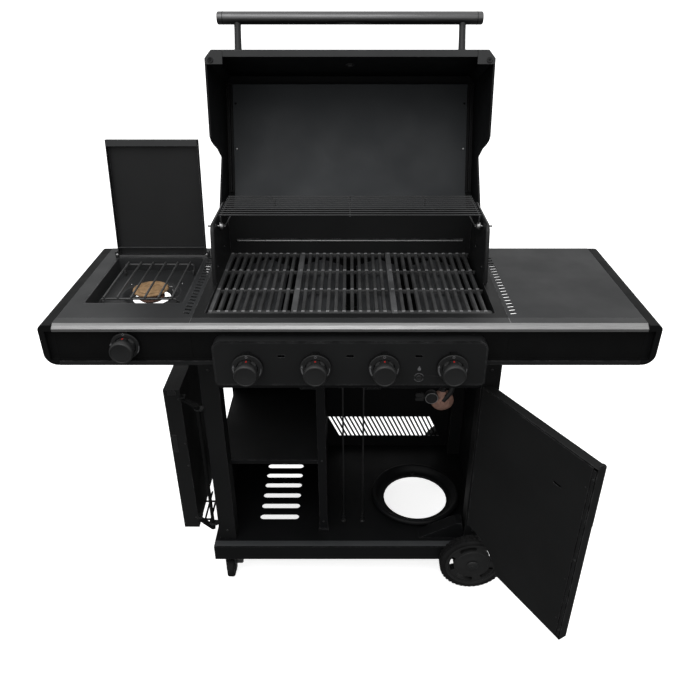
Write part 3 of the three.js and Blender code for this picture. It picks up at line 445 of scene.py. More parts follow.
# ---------- mesh pieces ----------
class Piece:
    """Closed shapes in mm that together become one mesh object."""

    def __init__(self, still=Matrix.Identity(4)):
        self.mesh = bmesh.new()
        self.still = still

    def prism(self, axis, loops, start, end):
        """Outline, with any holes as further loops, pushed along an axis.

        It is drawn in (y, z), (x, z) or (x, y), for the axes x, y and z.
        """
        place = {
            "x": lambda a, b, d: (d, a, b),
            "y": lambda a, b, d: (a, d, b),
            "z": lambda a, b, d: (a, b, d),
        }[axis]
        flat = [point for loop in loops for point in loop]
        near = [self.mesh.verts.new(place(a, b, start)) for a, b in flat]
        far = [self.mesh.verts.new(place(a, b, end)) for a, b in flat]
        for face in tessellate_polygon([[Vector((a, b, 0)) for a, b in loop] for loop in loops]):
            self.mesh.faces.new([near[i] for i in face])
            self.mesh.faces.new([far[i] for i in reversed(face)])
        first = 0
        for loop in loops:
            count = len(loop)
            for i in range(count):
                a, b = first + i, first + (i + 1) % count
                self.mesh.faces.new((near[a], near[b], far[b], far[a]))
            first += count
        return self

    def block(self, low, high):
        (x0, y0, z0), (x1, y1, z1) = low, high
        return self.prism("z", [[(x0, y0), (x1, y0), (x1, y1), (x0, y1)]], z0, z1)

    def tube(self, points, radius, sides=14):
        """A round bar along points, with softly rounded ends."""
        path = [Vector(p) for p in points]
        first = (path[1] - path[0]).normalized()
        last = (path[-1] - path[-2]).normalized()
        soft = 0.35 * radius
        stations = [(path[0], 0.72), (path[0] + first * soft, 1), *[(p, 1) for p in path[1:-1]],
                    (path[-1] - last * soft, 1), (path[-1], 0.72)]
        normal = first.orthogonal().normalized()
        rings = []
        for i, (point, share) in enumerate(stations):
            before = stations[max(i - 1, 0)][0]
            after = stations[min(i + 1, len(stations) - 1)][0]
            along = (after - before).normalized()
            normal = (normal - along * normal.dot(along)).normalized()
            side = along.cross(normal)
            turns = [math.tau * k / sides for k in range(sides)]
            rings.append([
                self.mesh.verts.new(point + (normal * math.cos(t) + side * math.sin(t)) * radius * share)
                for t in turns
            ])
        self.skin(rings)
        self.mesh.faces.new(rings[0])
        self.mesh.faces.new(rings[-1])
        return self

    def skin(self, rings, closed=False):
        pairs = list(zip(rings, rings[1:]))
        if closed:
            pairs.append((rings[-1], rings[0]))
        for one, two in pairs:
            count = max(len(one), len(two))
            for i in range(count):
                j = (i + 1) % count
                corners = [one[i % len(one)], one[j % len(one)], two[j % len(two)], two[i % len(two)]]
                self.mesh.faces.new(list(dict.fromkeys(corners)))

    def lathe(self, profile, at, axis, segments=40, relief=None):
        """Turns (radius, height) points about an axis. relief(angle, radius, height) changes a radius."""
        turn = Vector((0, 0, 1)).rotation_difference(Vector(axis)).to_matrix()
        rings = []
        for radius, height in profile:
            if radius < 1e-6:
                rings.append([self.mesh.verts.new(turn @ Vector((0, 0, height)) + Vector(at))])
                continue
            ring = []
            for i in range(segments):
                angle = math.tau * i / segments
                reach = radius if relief is None else relief(angle, radius, height)
                point = Vector((reach * math.cos(angle), reach * math.sin(angle), height))
                ring.append(self.mesh.verts.new(turn @ point + Vector(at)))
            rings.append(ring)
        self.skin(rings, closed=len(rings[0]) > 1 or len(rings[-1]) > 1)
        return self

    def dome(self, at, axis, radius, height):
        """A low rivet or screw head."""
        profile = [(0, -1), (radius, -1), (radius, 0.2 * height), (0.8 * radius, 0.75 * height),
                   (0.4 * radius, height), (0, height)]
        return self.lathe(profile, at, axis, 16)

    def build(self, name, body, slot, finish=None, bevel=0.0, smooth=32):
        bmesh.ops.recalc_face_normals(self.mesh, faces=self.mesh.faces)
        self.mesh.transform(self.still)
        self.mesh.transform(Matrix.Scale(MM, 4))
        data = bpy.data.meshes.new(name)
        self.mesh.to_mesh(data)
        self.mesh.free()
        data.shade_smooth()
        data.set_sharp_from_angle(angle=math.radians(smooth))
        data.materials.append(FINISHES[finish or slot])
        piece = bpy.data.objects.new(name, data)
        bpy.context.scene.collection.objects.link(piece)
        if bevel:
            add_bevel(piece, bevel)
        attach(piece, body)
        return piece


def add_bevel(piece, width, segments=2):
    modifier = piece.modifiers.new("edge", "BEVEL")
    modifier.width = width * MM
    modifier.segments = segments
    modifier.limit_method = "ANGLE"
    modifier.angle_limit = math.radians(35)
    modifier.harden_normals = False


# Dissolving the flat faces of these sheets would close their slots.
SLOTTED = ("back_panel", "left_shelf", "right_shelf", "base_tray")


def dress(node, finish, bevel=0.8):
    """Gives a CAD node its material and, unless it is slotted, folded or filed edges."""
    piece = NODES[node]
    piece.data.materials.clear()
    piece.data.materials.append(FINISHES[finish])
    if node not in SLOTTED:
        weld = piece.modifiers.new("weld", "WELD")
        weld.merge_threshold = 0.01 * MM
        flat = piece.modifiers.new("flat", "DECIMATE")
        flat.decimate_type = "DISSOLVE"
        flat.angle_limit = math.radians(0.3)
        add_bevel(piece, bevel)


# ---------- cart ----------
def dress_cart():
    for node in ("base_tray", "back_panel", "left_side_panel", "right_side_panel", "divider",
                 "cabinet_shelf", "front_rail"):
        dress(node, "paint_black")
    for node in ("post_front_left", "post_front_right", "post_rear_left", "post_rear_right", "rear_rail"):
        dress(node, "paint_satin", 1.5)
    for node in ("caster_fork_front", "caster_fork_rear"):
        dress(node, "wire_steel", 0.5)
    dress("left_door_link", "fascia_plastic", 0.5)


def tank_ring():
    """Rolled lip of the gas bottle's ring, with a stud at its back."""
    low, high = box("tank_ring")
    x, y, _ = (low + high) / 2
    outer = (high.x - low.x) / 2
    in_and_up = [(39, 0), (15, 0), (4, 10), (0.6, 14), (0, 18), (1.2, 22), (4.5, 24.6), (8.5, 25),
                 (13, 22), (18, 14), (23, 7.5), (30, 5), (39, 4)]
    profile = [(outer - inward, up) for inward, up in in_and_up]
    piece = Piece().lathe(profile, (x, y, low.z), UP, 72)
    piece.lathe([(0, 0), (6, 0), (6, 5), (4.5, 7), (0, 7)], (x, y + outer - 31, low.z + 3), UP, 20)
    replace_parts(piece.build("tank_ring_lip", "cart", "paint_black", smooth=50), "tank_ring")


def guard_rods():
    """Two thin uprights on turned feet."""
    for side in ("left", "right"):
        node = f"guard_rod_{side}"
        low, high = box(node)
        x, y, _ = (low + high) / 2
        foot = [(0, 0), (7.5, 0), (7.5, 3), (4, 5), (3.2, 12), (5, 16), (3.2, 22), (2.8, 30), (0, 30)]
        piece = Piece().lathe(foot, (x, y, low.z), UP, 24)
        piece.tube([(x, y, low.z + 20), (x, y, high.z)], 2.6)
        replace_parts(piece.build(f"{node}_wire", "cart", "wire_steel", smooth=50), node)


def cart_screws():
    """Round screw heads that hold the panels, the shelf and the front rail."""
    piece = Piece()
    low, high = box("back_panel")
    for x in (low.x + 22, -80, high.x - 22):
        for z in (low.z + 30, 300, 520, high.z - 24):
            piece.dome((x, high.y, z), BACKWARD, 5.5, 2.6)
    for node in ("post_front_left", "post_front_right"):
        low, high = box(node)
        outer = high.x - 24 if node.endswith("left") else low.x + 24
        for z in (low.z + 34, high.z - 62):
            piece.dome((outer, box("post_front_right")[0].y, z), FORWARD, 4.2, 2)
    low, high = box("divider")
    for z in (low.z + 40, box("cabinet_shelf")[1].z - 4, high.z - 90):
        piece.dome(((low.x + high.x) / 2, low.y + 4, z), FORWARD, 3.4, 1.8)
    low, high = box("rear_rail")
    for x in (low.x + 24, high.x - 24):
        piece.dome((x, high.y, low.z + 24), BACKWARD, 5.5, 2.6)
    piece.build("cart_screws", "cart", "wire_steel", smooth=50)


def base_rim():
    """Strip along the top of the base's front rail, with a soft slope to the front; its lighter grey is a
    painted highlight where the slope catches the light.
    """
    low, high = box("base_tray")
    x, top = high.x - 1, low.z + BASE_HEIGHT
    piece = Piece()
    section = [(0.4, -5), (4, 0.2), (9, 1.4), (23.6, 1.4), (23.6, -1), (3, -1)]
    piece.prism("x", [[(low.y + back, top + up) for back, up in section]], -x, x)
    piece.build("base_front_rim", "cart", "paint_black", "rim_painted_highlight", bevel=0.5)


def door_catches():
    """Small magnet catches under the front rail, one for each door."""
    low, _ = box("front_rail")
    piece = Piece()
    for x in CATCH_X:
        piece.block((x - 22, low.y + 5, low.z - 8), (x + 22, low.y + 16, low.z - 0.3))
        piece.block((x - 14, low.y + 3, low.z - 7), (x + 14, low.y + 5, low.z - 2))
    piece.build("door_catches", "cart", "paint_black", bevel=0.6)


# ---------- cooking unit ----------
def dress_cooking_unit():
    dress("firebox", "paint_satin", 0.8)
    dress("drip_tray", "bright_steel", 0.5)
    for i in range(1, 5):
        dress(f"flame_tamer_{i}", "tamer_grey", 0.6)


def grate(name, border):
    """Long bars with crowned tops, a wide border on the left, and pale marks on the ribs where bars cross:
    painted highlights for glints off the ribs' tops.
    """
    low, high = box(name)
    top = high.z
    half_crown = [(0, -GRATE_DEPTH), (0.6, -3), (1.8, -0.9)]
    crown = [*half_crown, (GRATE_BAR / 2, 0), *[(GRATE_BAR - a, b) for a, b in reversed(half_crown)]]
    front, back = GRATE_RIBS[0] + 5, high.y - 1
    starts = []
    x = low.x + border + GRATE_PITCH - GRATE_BAR
    while x + GRATE_BAR < high.x + 1:
        starts.append(x)
        x += GRATE_PITCH
    bars = Piece()
    for x in starts:
        bars.prism("y", [[(x + a, top + b) for a, b in crown]], front - 2, back)
    bars.prism("z", [rounded(low.x, high.x, low.y, front, 3, 4)], low.z, top - 1)
    bars.prism("z", [rounded(low.x, high.x, high.y - 6, high.y, 2.4, 4)], low.z, top - 1.6)
    for y in GRATE_RIBS[1:]:
        bars.prism("z", [rounded(low.x + 1, high.x - 1, y - 4, y + 4, 1.5, 3)], low.z + 1, top - 3.4)
    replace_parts(bars.build(f"{name}_bars", "cart", "cast_iron", bevel=0.5), name)
    edge = Piece()
    edge.prism("z", [rounded(low.x, low.x + border, low.y, high.y, 2.4, 4)], low.z, top - 0.2)
    edge.build(f"{name}_border", "cart", "cast_iron", "border_iron", bevel=0.5)
    # Pale marks on the rib tops between the bars: painted highlights, not a paler iron.
    ribs = Piece()
    for x in [low.x + border - GRATE_BAR, *starts]:
        for y in GRATE_RIBS:
            mark = rounded(x + 0.8, x + GRATE_BAR - 0.8, y - 2.4, y + 2.4, 1.6, 3)
            ribs.prism("z", [mark], top - 2, top + 0.5)
    ribs.build(f"{name}_ribs", "cart", "cast_iron", "rib_painted_highlight", bevel=0.3)


def burner_tube(node):
    """A pressed steel tube with a row of ports along each side and a crimped end."""
    low, high = box(node)
    x, z = (low.x + high.x) / 2, (low.z + high.z) / 2
    piece = Piece().tube([(x, low.y, z), (x, high.y - 14, z)], 12.6, 24)
    piece.block((x - 13, high.y - 18, z - 3), (x + 13, high.y, z + 3))
    for side in (-1, 1):
        for i in range(16):
            y = low.y + 60 + i * (high.y - low.y - 100) / 15
            piece.dome((x + side * 11.2, y, z + 5.6), (side * 0.9, 0, 0.44), 1.8, 0.9)
    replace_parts(piece.build(f"{node}_tube", "cart", "bright_steel", bevel=0.4), node)


def warming_rack():
    """Ten round rods on three bearers, with a bent leg and a bolt at each front corner."""
    low, high = box("warming_rack")
    top = high.z - 2.4
    y0 = low.y + 2.4
    y1 = y0 + RACK_DEPTH
    half = high.x - 35
    piece = Piece()
    under = top - 2.8
    for x in (-half, 0, half):
        piece.tube([(x, y0 - 1, under), (x, y1 + 1, under)], 1.7)
    for i in range(RACK_RODS):
        y = y0 + RACK_DEPTH * i / (RACK_RODS - 1)
        piece.tube([(-half - 4, y, top), (half + 4, y, top)], 1.6, 10)
    bolt = (y0 + 13, top - 34)
    for side in (-1, 1):
        leg = [(side * half, y0 + 50, under), (side * half, y0 - 0.5, under),
               (side * (half + 2), *bolt), (side * (half + 16), *bolt)]
        piece.tube(bend(leg, 5), 2.1)
        brace = [(side * (half - 26), y0, under), (side * (half - 10), bolt[0] - 4, bolt[1] + 4),
                 (side * (half + 6), bolt[0] - 4, bolt[1])]
        piece.tube(bend(brace, 5), 1.7)
        foot_x = side * RACK_FOOT_X
        foot = [(foot_x, y1 - 30, top - 2.6), (foot_x, y1 + 6, top - 2.6), (foot_x, high.y - 4, top - 30)]
        piece.tube(bend(foot, 8), 2.2)
    made = piece.build("warming_rack_wires", "cart", "wire_steel", "rack_wire", smooth=50)
    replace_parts(made, "warming_rack")
    bolts = Piece()
    for side in (-1, 1):
        bolts.tube([(side * (half - 8), *bolt), (side * (high.x + 3), *bolt)], 2.7)
        nut = [(0, 0), (9, 0), (9.6, 2), (8.6, 7), (5, 10), (0, 10.4)]
        bolts.lathe(nut, (side * (half + 6), *bolt), (-side, 0, 0), 24)
    bolts.build("warming_rack_bolts", "cart", "bright_steel", smooth=50)


def firebox_details():
    """Ledge and dark seam across the back wall, rolled edges and bolts on the side walls."""
    _, high = box("firebox")
    back = high.y - 6
    piece = Piece()
    ledge = [(back, SEAM_Z), (back - 2.2, SEAM_Z - 1.4), (back - 2.2, SEAM_Z - 3.8), (back, SEAM_Z - 5)]
    piece.prism("x", [ledge], -BACK_WALL_X, BACK_WALL_X)
    piece.build("firebox_back_ledge", "cart", "paint_satin", "bright_steel", bevel=0.3)
    dark = Piece()
    dark.block((-BACK_WALL_X, back - 0.6, SEAM_Z + 0.4), (BACK_WALL_X, back + 0.1, SEAM_Z + 4.4))
    dark.build("firebox_back_slot", "cart", "paint_black")
    wall = Piece()
    front, top = 0, high.z
    for side in (-1, 1):
        x = side * FIREBOX_WALL_X
        edge = [(x, front - 0.4, 918), (x, front + 36, top - 10), (x, front + 50, top - 1),
                (x, high.y - 22, top - 1), (x, high.y - 2, top - 20)]
        wall.tube(bend(edge, 7), 5.4, 16)
    wall.build("firebox_rolled_edges", "cart", "paint_satin", "wire_steel", smooth=50)
    bolts = Piece()
    for side in (-1, 1):
        for y, z in ((40, 946), (150, 960), (210, 1030)):
            bolts.dome((side * 346, y, z), (-side, 0, 0), 3.6, 2)
    bolts.build("firebox_bolts", "cart", "wire_steel", smooth=50)


def manifold():
    """Gas rail with a valve body behind each knob."""
    low, high = box("gas_manifold")
    y, z = (low.y + high.y) / 2, high.z - 8
    piece = Piece().tube([(low.x, y, z), (high.x - 6, y, z)], 7.8, 20)
    piece.tube([(high.x - 6, y, z), (high.x - 6, y, low.z)], 5.8, 16)
    for i in range(1, 5):
        x = centre(f"knob_{i}").x
        piece.lathe([(0, 0), (10, 0), (11, 2), (11, 5), (8, 7), (0, 7)], (x, y, z + 6), UP, 6)
    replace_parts(piece.build("gas_rail", "cart", "bright_steel", bevel=0.3), "gas_manifold")


def regulator():
    """Bell, vent cap, wing lever and inlet pipe of the gas regulator."""
    low, high = box("regulator")
    x, y, z = high.x - 31, high.y - 4, low.z + 31
    bell = Piece()
    bell.lathe([(0, -4), (27, -4), (30, 0), (31, 4), (31, 11), (28, 14.5), (24, 16), (20, 20),
                (17, 21.4), (0, 22)], (x, y - 2, z), FORWARD, 48)
    bell.lathe([(0, 20), (7, 20), (7, 24), (5.5, 25), (0, 25)], (x, y - 2, z), FORWARD, 6)
    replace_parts(bell.build("regulator_bell", "cart", "brass", "copper", bevel=0.4, smooth=40), "regulator")
    body = Piece()
    body.tube([(x, y - 5, z + 18), (x, y - 5, high.z)], 6, 18)
    body.lathe([(0, 0), (11, 0), (11, 12), (8, 15), (0, 15)], (x, y - 5, z + 20), UP, 6)
    knob = (x - 31, y - 6, z + 16)
    body.lathe([(0, 0), (16.5, 0), (18, 3), (18, 17), (17, 19.5), (14.5, 20), (13.5, 18), (0, 17)],
               knob, FORWARD, 40)
    body.tube(bend([(x, y - 20, z + 4), (x + 22, y - 20, z + 34), (x + 30, y - 10, z + 96)], 14), 7, 16)
    body.tube([(x - 31, y - 14, z + 14), (low.x + 22, y - 14, z + 14)], 4.6, 14)
    for tilt in (-1, 1):
        wing = [(26, 2), (24, 11), (4, 11), (1, 7), (4, 2)]
        body.prism("y", [[(low.x + a, z + 14 + tilt * b) for a, b in wing]], y - 18, y - 11)
    body.build("regulator_body", "cart", "brass", "hub", bevel=0.5, smooth=40)
    rim = Piece()
    rim.lathe([(15.6, 18.8), (17.2, 18.8), (17.2, 20.4), (15.6, 20.4)], knob, FORWARD, 40)
    rim.build("regulator_ring", "cart", "bright_steel")


def valve_bracket():
    """Plate with a round boss, to the left of the regulator and higher."""
    low, high = box("regulator")
    x, y, z = low.x - 30, high.y - 2, low.z + 91
    piece = Piece()
    piece.block((x - 38, y, z - 30), (x + 38, y + 4, z + 40))
    piece.lathe([(0, 0), (17, 0), (18, 2), (18, 10), (15, 12), (0, 12)], (x, y, z), FORWARD, 32)
    piece.build("valve_bracket", "cart", "paint_black", bevel=0.8)


# ---------- table ----------
def dress_table():
    for node in ("left_shelf", "right_shelf"):
        dress(node, "shelf_grey", 0.6)
    dress("front_trim", "trim_steel", 0.5)
    dress("fascia", "fascia_plastic", 0.5)
    for node in ("left_end_cap", "right_end_cap"):
        dress(node, "cap_plastic", 1.2)


def trim_top():
    """Painted top of the front trim; the bare chamfer in front of it stays bright."""
    low, high = box("front_trim")
    seam = centre("right_shelf").x - (box("right_shelf")[1].x - box("right_shelf")[0].x) / 2
    piece = Piece()
    for x0, x1 in ((low.x, -seam - 0.5), (-seam + 0.5, seam - 0.5), (seam + 0.5, high.x)):
        piece.block((x0, high.y - 25, high.z - 1), (x1, high.y, high.z + 0.35))
    piece.build("front_trim_top", "cart", "shelf_grey", "lip_grey", bevel=0.3)


def fascia_rim():
    """Paler lower edge of the fascia, on both sides of the control panel: a painted highlight for the light
    on the fascia's upward-facing lower rim.
    """
    low, high = box("fascia")
    panel_x = box("control_panel")[1].x
    piece = Piece()
    for x0, x1 in ((low.x + 2, -panel_x - 2), (panel_x + 2, high.x - 2)):
        piece.block((x0, low.y - 0.3, low.z + 1.5), (x1, low.y + 1, low.z + 12))
    piece.build("fascia_low_rim", "cart", "panel_plastic", bevel=0.3)


def burner_bowl():
    """Pressed bowl: flat floor, a round dish with open windows, and four small drain holes."""
    low, high = box("side_burner_bowl")
    x, y, _ = centre("side_burner")
    wall = 2.5
    outer = rounded(low.x, high.x, low.y, high.y, 3, 3)
    inner = rounded(low.x + wall, high.x - wall, low.y + wall, high.y - wall, 8, 6)
    drains = [(-56, -78), (52, -64), (-70, 60), (68, 66)]
    dish = 76
    floor_z = low.z + 13
    piece = Piece()
    piece.prism("z", [outer, inner], low.z, high.z)
    piece.prism("z", [inner, circle(x, y, dish, 48), *[circle(x + a, y + b, 3.6, 12) for a, b in drains]],
                floor_z - wall, floor_z)
    slope = [(-1, -wall), (-1, 0), (4, -0.6), (10, -6), (16, -11), (22, -12), (22, -14), (15, -13.4),
             (8, -8), (3, -2.8)]
    piece.lathe([(dish - inward, up) for inward, up in slope], (x, y, floor_z), UP, 64)
    windows = [sector(x, y, 30, dish - 27, 90 * i + 9, 90 * i + 81) for i in range(4)]
    plate = [circle(x, y, dish - 21, 48), circle(x, y, 14, 24), *windows]
    piece.prism("z", plate, floor_z - 14, floor_z - 12)
    made = piece.build("burner_bowl_pressing", "cart", "paint_satin", "lip_grey", smooth=50)
    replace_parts(made, "side_burner_bowl")


def side_burner():
    """Burner head with a ring of ports, under a flat brass cap."""
    low, high = box("side_burner")
    x, y, _ = centre("side_burner")
    body = Piece()

    def ports(angle, radius, height):
        return radius - (1.6 if height > 8 and math.sin(18 * angle) > 0.2 else 0)

    body.lathe([(0, -4), (30, -4), (34, 0), (34, 4), (26, 8), (26, 12), (38, 15), (41, 17), (41, 20),
                (0, 20)], (x, y, low.z), UP, 144, ports)
    body.build("side_burner_body", "cart", "brass", "copper", smooth=40)
    cap = Piece()
    top = high.z - low.z
    cap.lathe([(0, 20), (43, 20), (46, 21), (46.5, 23), (45, top - 0.4), (42, top), (31, top - 0.7),
               (29.5, top - 1.3), (28, top - 0.7), (10, top - 0.9), (0, top - 0.9)], (x, y, low.z), UP, 72)
    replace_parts(cap.build("side_burner_cap", "cart", "brass", smooth=40), "side_burner")
    igniter = Piece()
    at = Vector((x + 56, y + 8, low.z))
    igniter.lathe([(0, 0), (3, 0), (3, 16), (1.4, 18), (1.4, 24), (0, 24)], at, UP, 16)
    tip = [at + Vector((0, 0, 22)), at + Vector((0, 0, 26)), at + Vector((-8, 0, 26))]
    igniter.tube(bend(tip, 2), 0.9, 8)
    igniter.build("side_burner_electrode", "cart", "bright_steel", smooth=50)


def pot_support():
    """Six rods on two cross wires, whose ends bend down into the bowl as legs."""
    low, high = box("pot_support")
    radius = 2.7
    top = high.z - 3.7
    y0, y1 = low.y + 5.7, high.y - 5.7
    x0, x1 = low.x + 13.7, high.x - 13.7
    piece = Piece()
    for i in range(6):
        x = x0 + (x1 - x0) * i / 5
        piece.tube([(x, y0 - 4, top), (x, y1 + 4, top)], radius)
    for y in (y0, y1):
        wire = [(x0 - 10, y, low.z + 10), (x0 - 10, y, top - 5), (x1 + 10, y, top - 5),
                (x1 + 10, y, low.z + 10)]
        piece.tube(bend(wire, 8), radius)
    for x in (x0 - 10, x1 + 10):
        for y in (y0, y1):
            inner = y + (14 if y == y0 else -14)
            leg = [(x, y, top - 14), (x, y, low.z + 12), (x, inner, low.z + 12), (x, inner, top - 16)]
            piece.tube(bend(leg, 5), radius)
    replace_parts(piece.build("pot_support_wires", "cart", "cast_iron", smooth=50), "pot_support")


# ---------- controls ----------
def panel_outline(low, high, inset):
    """The panel's edge, drawn in by inset, with larger corners at the top."""
    x0, x1, z0, z1 = low.x + inset, high.x - inset, low.z + inset, high.z - inset
    small, large = (corner - inset for corner in PANEL_CORNERS)
    return [
        *arc(x1 - small, z0 + small, small, -90, 0, 8),
        *arc(x1 - large, z1 - large, large, 0, 90, 12),
        *arc(x0 + large, z1 - large, large, 90, 180, 12),
        *arc(x0 + small, z0 + small, small, 180, 270, 8),
    ]


def panel_face():
    return box("control_panel")[0].y + PANEL_STEP


def control_panel():
    """Pressed panel with round corners, a soft front edge and three lamp slots."""
    low, high = box("control_panel")
    front = panel_face()
    outline = panel_outline(low, high, 0)
    knobs = [circle(centre(f"knob_{i}").x, centre(f"knob_{i}").z, 6, 20) for i in range(1, 5)]
    button = centre("igniter_button")
    knobs.append(circle(button.x, button.z, 8.6, 24))
    half_x, half_z = LAMP["half"]
    slots = [rounded(x - half_x, x + half_x, LAMP["z"] - half_z - 0.8, LAMP["z"] + half_z + 0.8, 3, 5)
             for x in LAMP["x"]]
    piece = Piece().prism("y", [outline, *knobs, *slots], front, front + SHEET)
    inner = panel_outline(low, high, SHEET)
    piece.prism("y", [outline, inner], front + 0.01, high.y)
    made = piece.build("control_panel_face", "cart", "panel_plastic", bevel=2.0, smooth=30)
    made.modifiers["edge"].segments = 4
    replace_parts(made, "control_panel")
    wells = Piece()
    for x in LAMP["x"]:
        wells.prism("y", [rounded(x - 12, x + 12, LAMP["z"] - 6, LAMP["z"] + 6, 3, 4)], front + SHEET + 9,
                    front + SHEET + 11)
    wells.build("lamp_wells", "cart", "panel_plastic", "fascia_plastic")


def dial_marks(name, x, y, z):
    """Turning arrow, off mark and low mark round a knob, in grey print."""
    marks = Piece()
    marks.prism("y", [sector(x, z, 31.4, 34.6, 178, 214, 12)], y - PRINT, y)
    point = [arc(x, z, 33, 162, 162, 1)[0], arc(x, z, 29.8, 176, 176, 1)[0], arc(x, z, 36, 176, 176, 1)[0]]
    marks.prism("y", [point], y - PRINT, y)
    marks.prism("y", [circle(x, z + 31.6, 3.1, 20), circle(x, z + 31.6, 1.9, 20)], y - PRINT, y)
    marks.prism("y", [sector(x, z, 31.6, 33.2, -34, 2, 10)], y - PRINT, y)
    marks.build(f"{name}_marks", "cart", "knob_plastic", "print_grey")


def dial(name, x, panel, z, radius):
    """Raised ring round a knob, with a darker side and a tab at its top."""
    ring = Piece()
    inner = KNOB_BACK_R + 1.6
    ring.lathe([(inner, 0), (radius, 0), (radius, DIAL_DEPTH - 1), (radius - 1, DIAL_DEPTH),
                (inner, DIAL_DEPTH)], (x, panel, z), FORWARD, 96)
    ring.build(f"{name}_dial", "cart", "knob_plastic", "dial_grey", smooth=30)
    side = Piece()
    side.lathe([(radius - 0.4, 0), (radius + 0.5, 0), (radius + 0.5, DIAL_DEPTH - 2),
                (radius - 0.4, DIAL_DEPTH - 1.6)], (x, panel, z), FORWARD, 96)
    low_tab, high_tab = z + radius - 3, z + radius + 4.5
    tab = [(x - 10, low_tab), (x + 10, low_tab), (x + 7, high_tab), (x - 7, high_tab)]
    side.prism("y", [tab], panel - DIAL_DEPTH + 3, panel)
    side.build(f"{name}_dial_side", "cart", "knob_plastic", "fascia_plastic", smooth=30)


def knob(name, panel, dial_r):
    """Grip that widens to the front, scooped on both sides of its pointer, inside a raised dial."""
    low, high = box(name)
    x, _, z = (low + high) / 2
    back = low.y + KNOB_DEPTH

    def scoops(angle, radius, height):
        if not 3 < height < 25 or radius < 15:
            return radius
        from_top = abs((math.degrees(angle) + 270) % 360 - 180)
        across = max(0, 1 - ((from_top - 132) / 26) ** 2)
        along = max(0, 1 - ((height - 13) / 12) ** 2)
        return radius - 6.5 * across * along ** 0.5

    grip = [(0, 0), (0, 3), (0, 6), (0, 10), (0.2, 14), (1, 18), (2.2, 21.5)]
    rim = [(0.8, 25), (0.1, 28), (0, 31), (0, 36.5), (0.6, 39), (1.8, 41), (3.4, KNOB_DEPTH),
           (4.6, KNOB_DEPTH), (5.4, KNOB_DEPTH - 1.2)]
    profile = [(0, 0), *[(KNOB_BACK_R + flare, up) for flare, up in grip],
               *[(KNOB_FRONT_R - inward, up) for inward, up in rim],
               (12, KNOB_DEPTH - 2.2), (0, KNOB_DEPTH - 2.6)]
    piece = Piece().lathe(profile, (x, back, z), FORWARD, 120, scoops)
    piece.tube([(x, back - 1, z), (x, high.y, z)], 4.5, 16)
    body = name if name in frame["bodies"] else "cart"
    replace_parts(piece.build(f"{name}_grip", body, "knob_plastic", smooth=30), name)
    mark = Piece()
    top = z + KNOB_BACK_R
    mark.block((x - 1.7, back - 20, top - 1.5), (x + 1.7, back - 11, top + 0.9))
    mark.build(f"{name}_pointer", body, "knob_plastic", "print_red", bevel=0.3)
    dial(name, x, panel, z, dial_r)
    dial_marks(name, x, panel - DIAL_DEPTH, z)


def igniter():
    """Dished button with two printed arcs and a flame mark above it."""
    low, high = box("igniter_button")
    x, _, z = (low + high) / 2
    cap = Piece().lathe([(0, 0), (7.8, 0), (7.8, 13.4), (7.2, 15.2), (6, 15.9), (4, 15.2), (0, 14.8)],
                        (x, high.y, z), FORWARD, 40)
    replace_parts(cap.build("igniter_cap", "igniter_button", "knob_plastic", smooth=40), "igniter_button")
    face = panel_face()
    marks = Piece()
    marks.prism("y", [sector(x, z, 10.6, 11.7, 20, 160, 16)], face - PRINT, face)
    marks.prism("y", [sector(x, z, 10.6, 11.7, 200, 340, 16)], face - PRINT, face)
    drop = [*arc(x, z + 23, 4.2, -200, 20, 12), (x + 1.6, z + 28), (x + 0.6, z + 32.5), (x - 1.8, z + 28.4)]
    marks.prism("y", [drop], face - PRINT, face)
    marks.build("igniter_marks", "cart", "knob_plastic", "print_grey")


# ---------- hood and lid ----------
def dress_hood():
    dress("hood", "hood_black", 1.2)
    dress("side_burner_lid", "lid_satin", 0.7)


def hood_outline():
    """Inside corners of the hood's roof and front wall in (y, z), closed, worked out from its box."""
    low, high = box("hood", HOOD)
    corner = Vector((low.y, high.z))
    return Vector((low.y, low.z)), corner + Vector(HOOD_FRONT_TOP), corner + Vector(HOOD_ROOF_BACK)


def hood_liner():
    """Matt inner skin of the roof, bent down at the back, with its rivets, screws and two side rails."""
    _, front_top, roof_back = hood_outline()
    start = front_top + Vector((26, -13))
    end = roof_back + Vector((-4, -10))
    tail = end + Vector((56, -49))
    along = (end - start).normalized()
    inward = Vector((along.y, -along.x))
    piece = Piece(HOOD)
    inner_end = end + Vector((-3.5, -7.5))
    section = [start, end, tail, tail + Vector((-5, -6)), inner_end, start + inward * 8 + along * 1.2,
               start + inward * 7]
    piece.prism("x", [[tuple(p) for p in section]], -LINER_X, LINER_X)
    piece.build("hood_liner", "hood", "paint_black", "liner", bevel=1.6)
    rivets = Piece(HOOD)
    dark = Piece(HOOD)
    for side in (-1, 1):
        for share, target in ((0.18, dark), (0.60, rivets)):
            at = start + (end - start) * share + inward * 8
            target.dome((side * (LINER_X - 8), at.x, at.y), (0, inward.x, inward.y), RIVET_R, 1.6)
    rivets.build("hood_liner_rivets", "hood", "wire_steel", "bright_steel", smooth=50)
    dark.build("hood_liner_screws", "hood", "wire_steel", "fascia_plastic", smooth=50)
    rails = Piece(HOOD)
    for side in (-1, 1):
        x = side * (LINER_X + 9)
        rails.prism("x", [[tuple(start + inward * 3), tuple(end + inward * 3), tuple(end + inward * 15),
                           tuple(start + inward * 15)]], x - 1.2, x + 1.2)
    rails.build("hood_liner_rails", "hood", "paint_black", "hood_black", bevel=0.5)


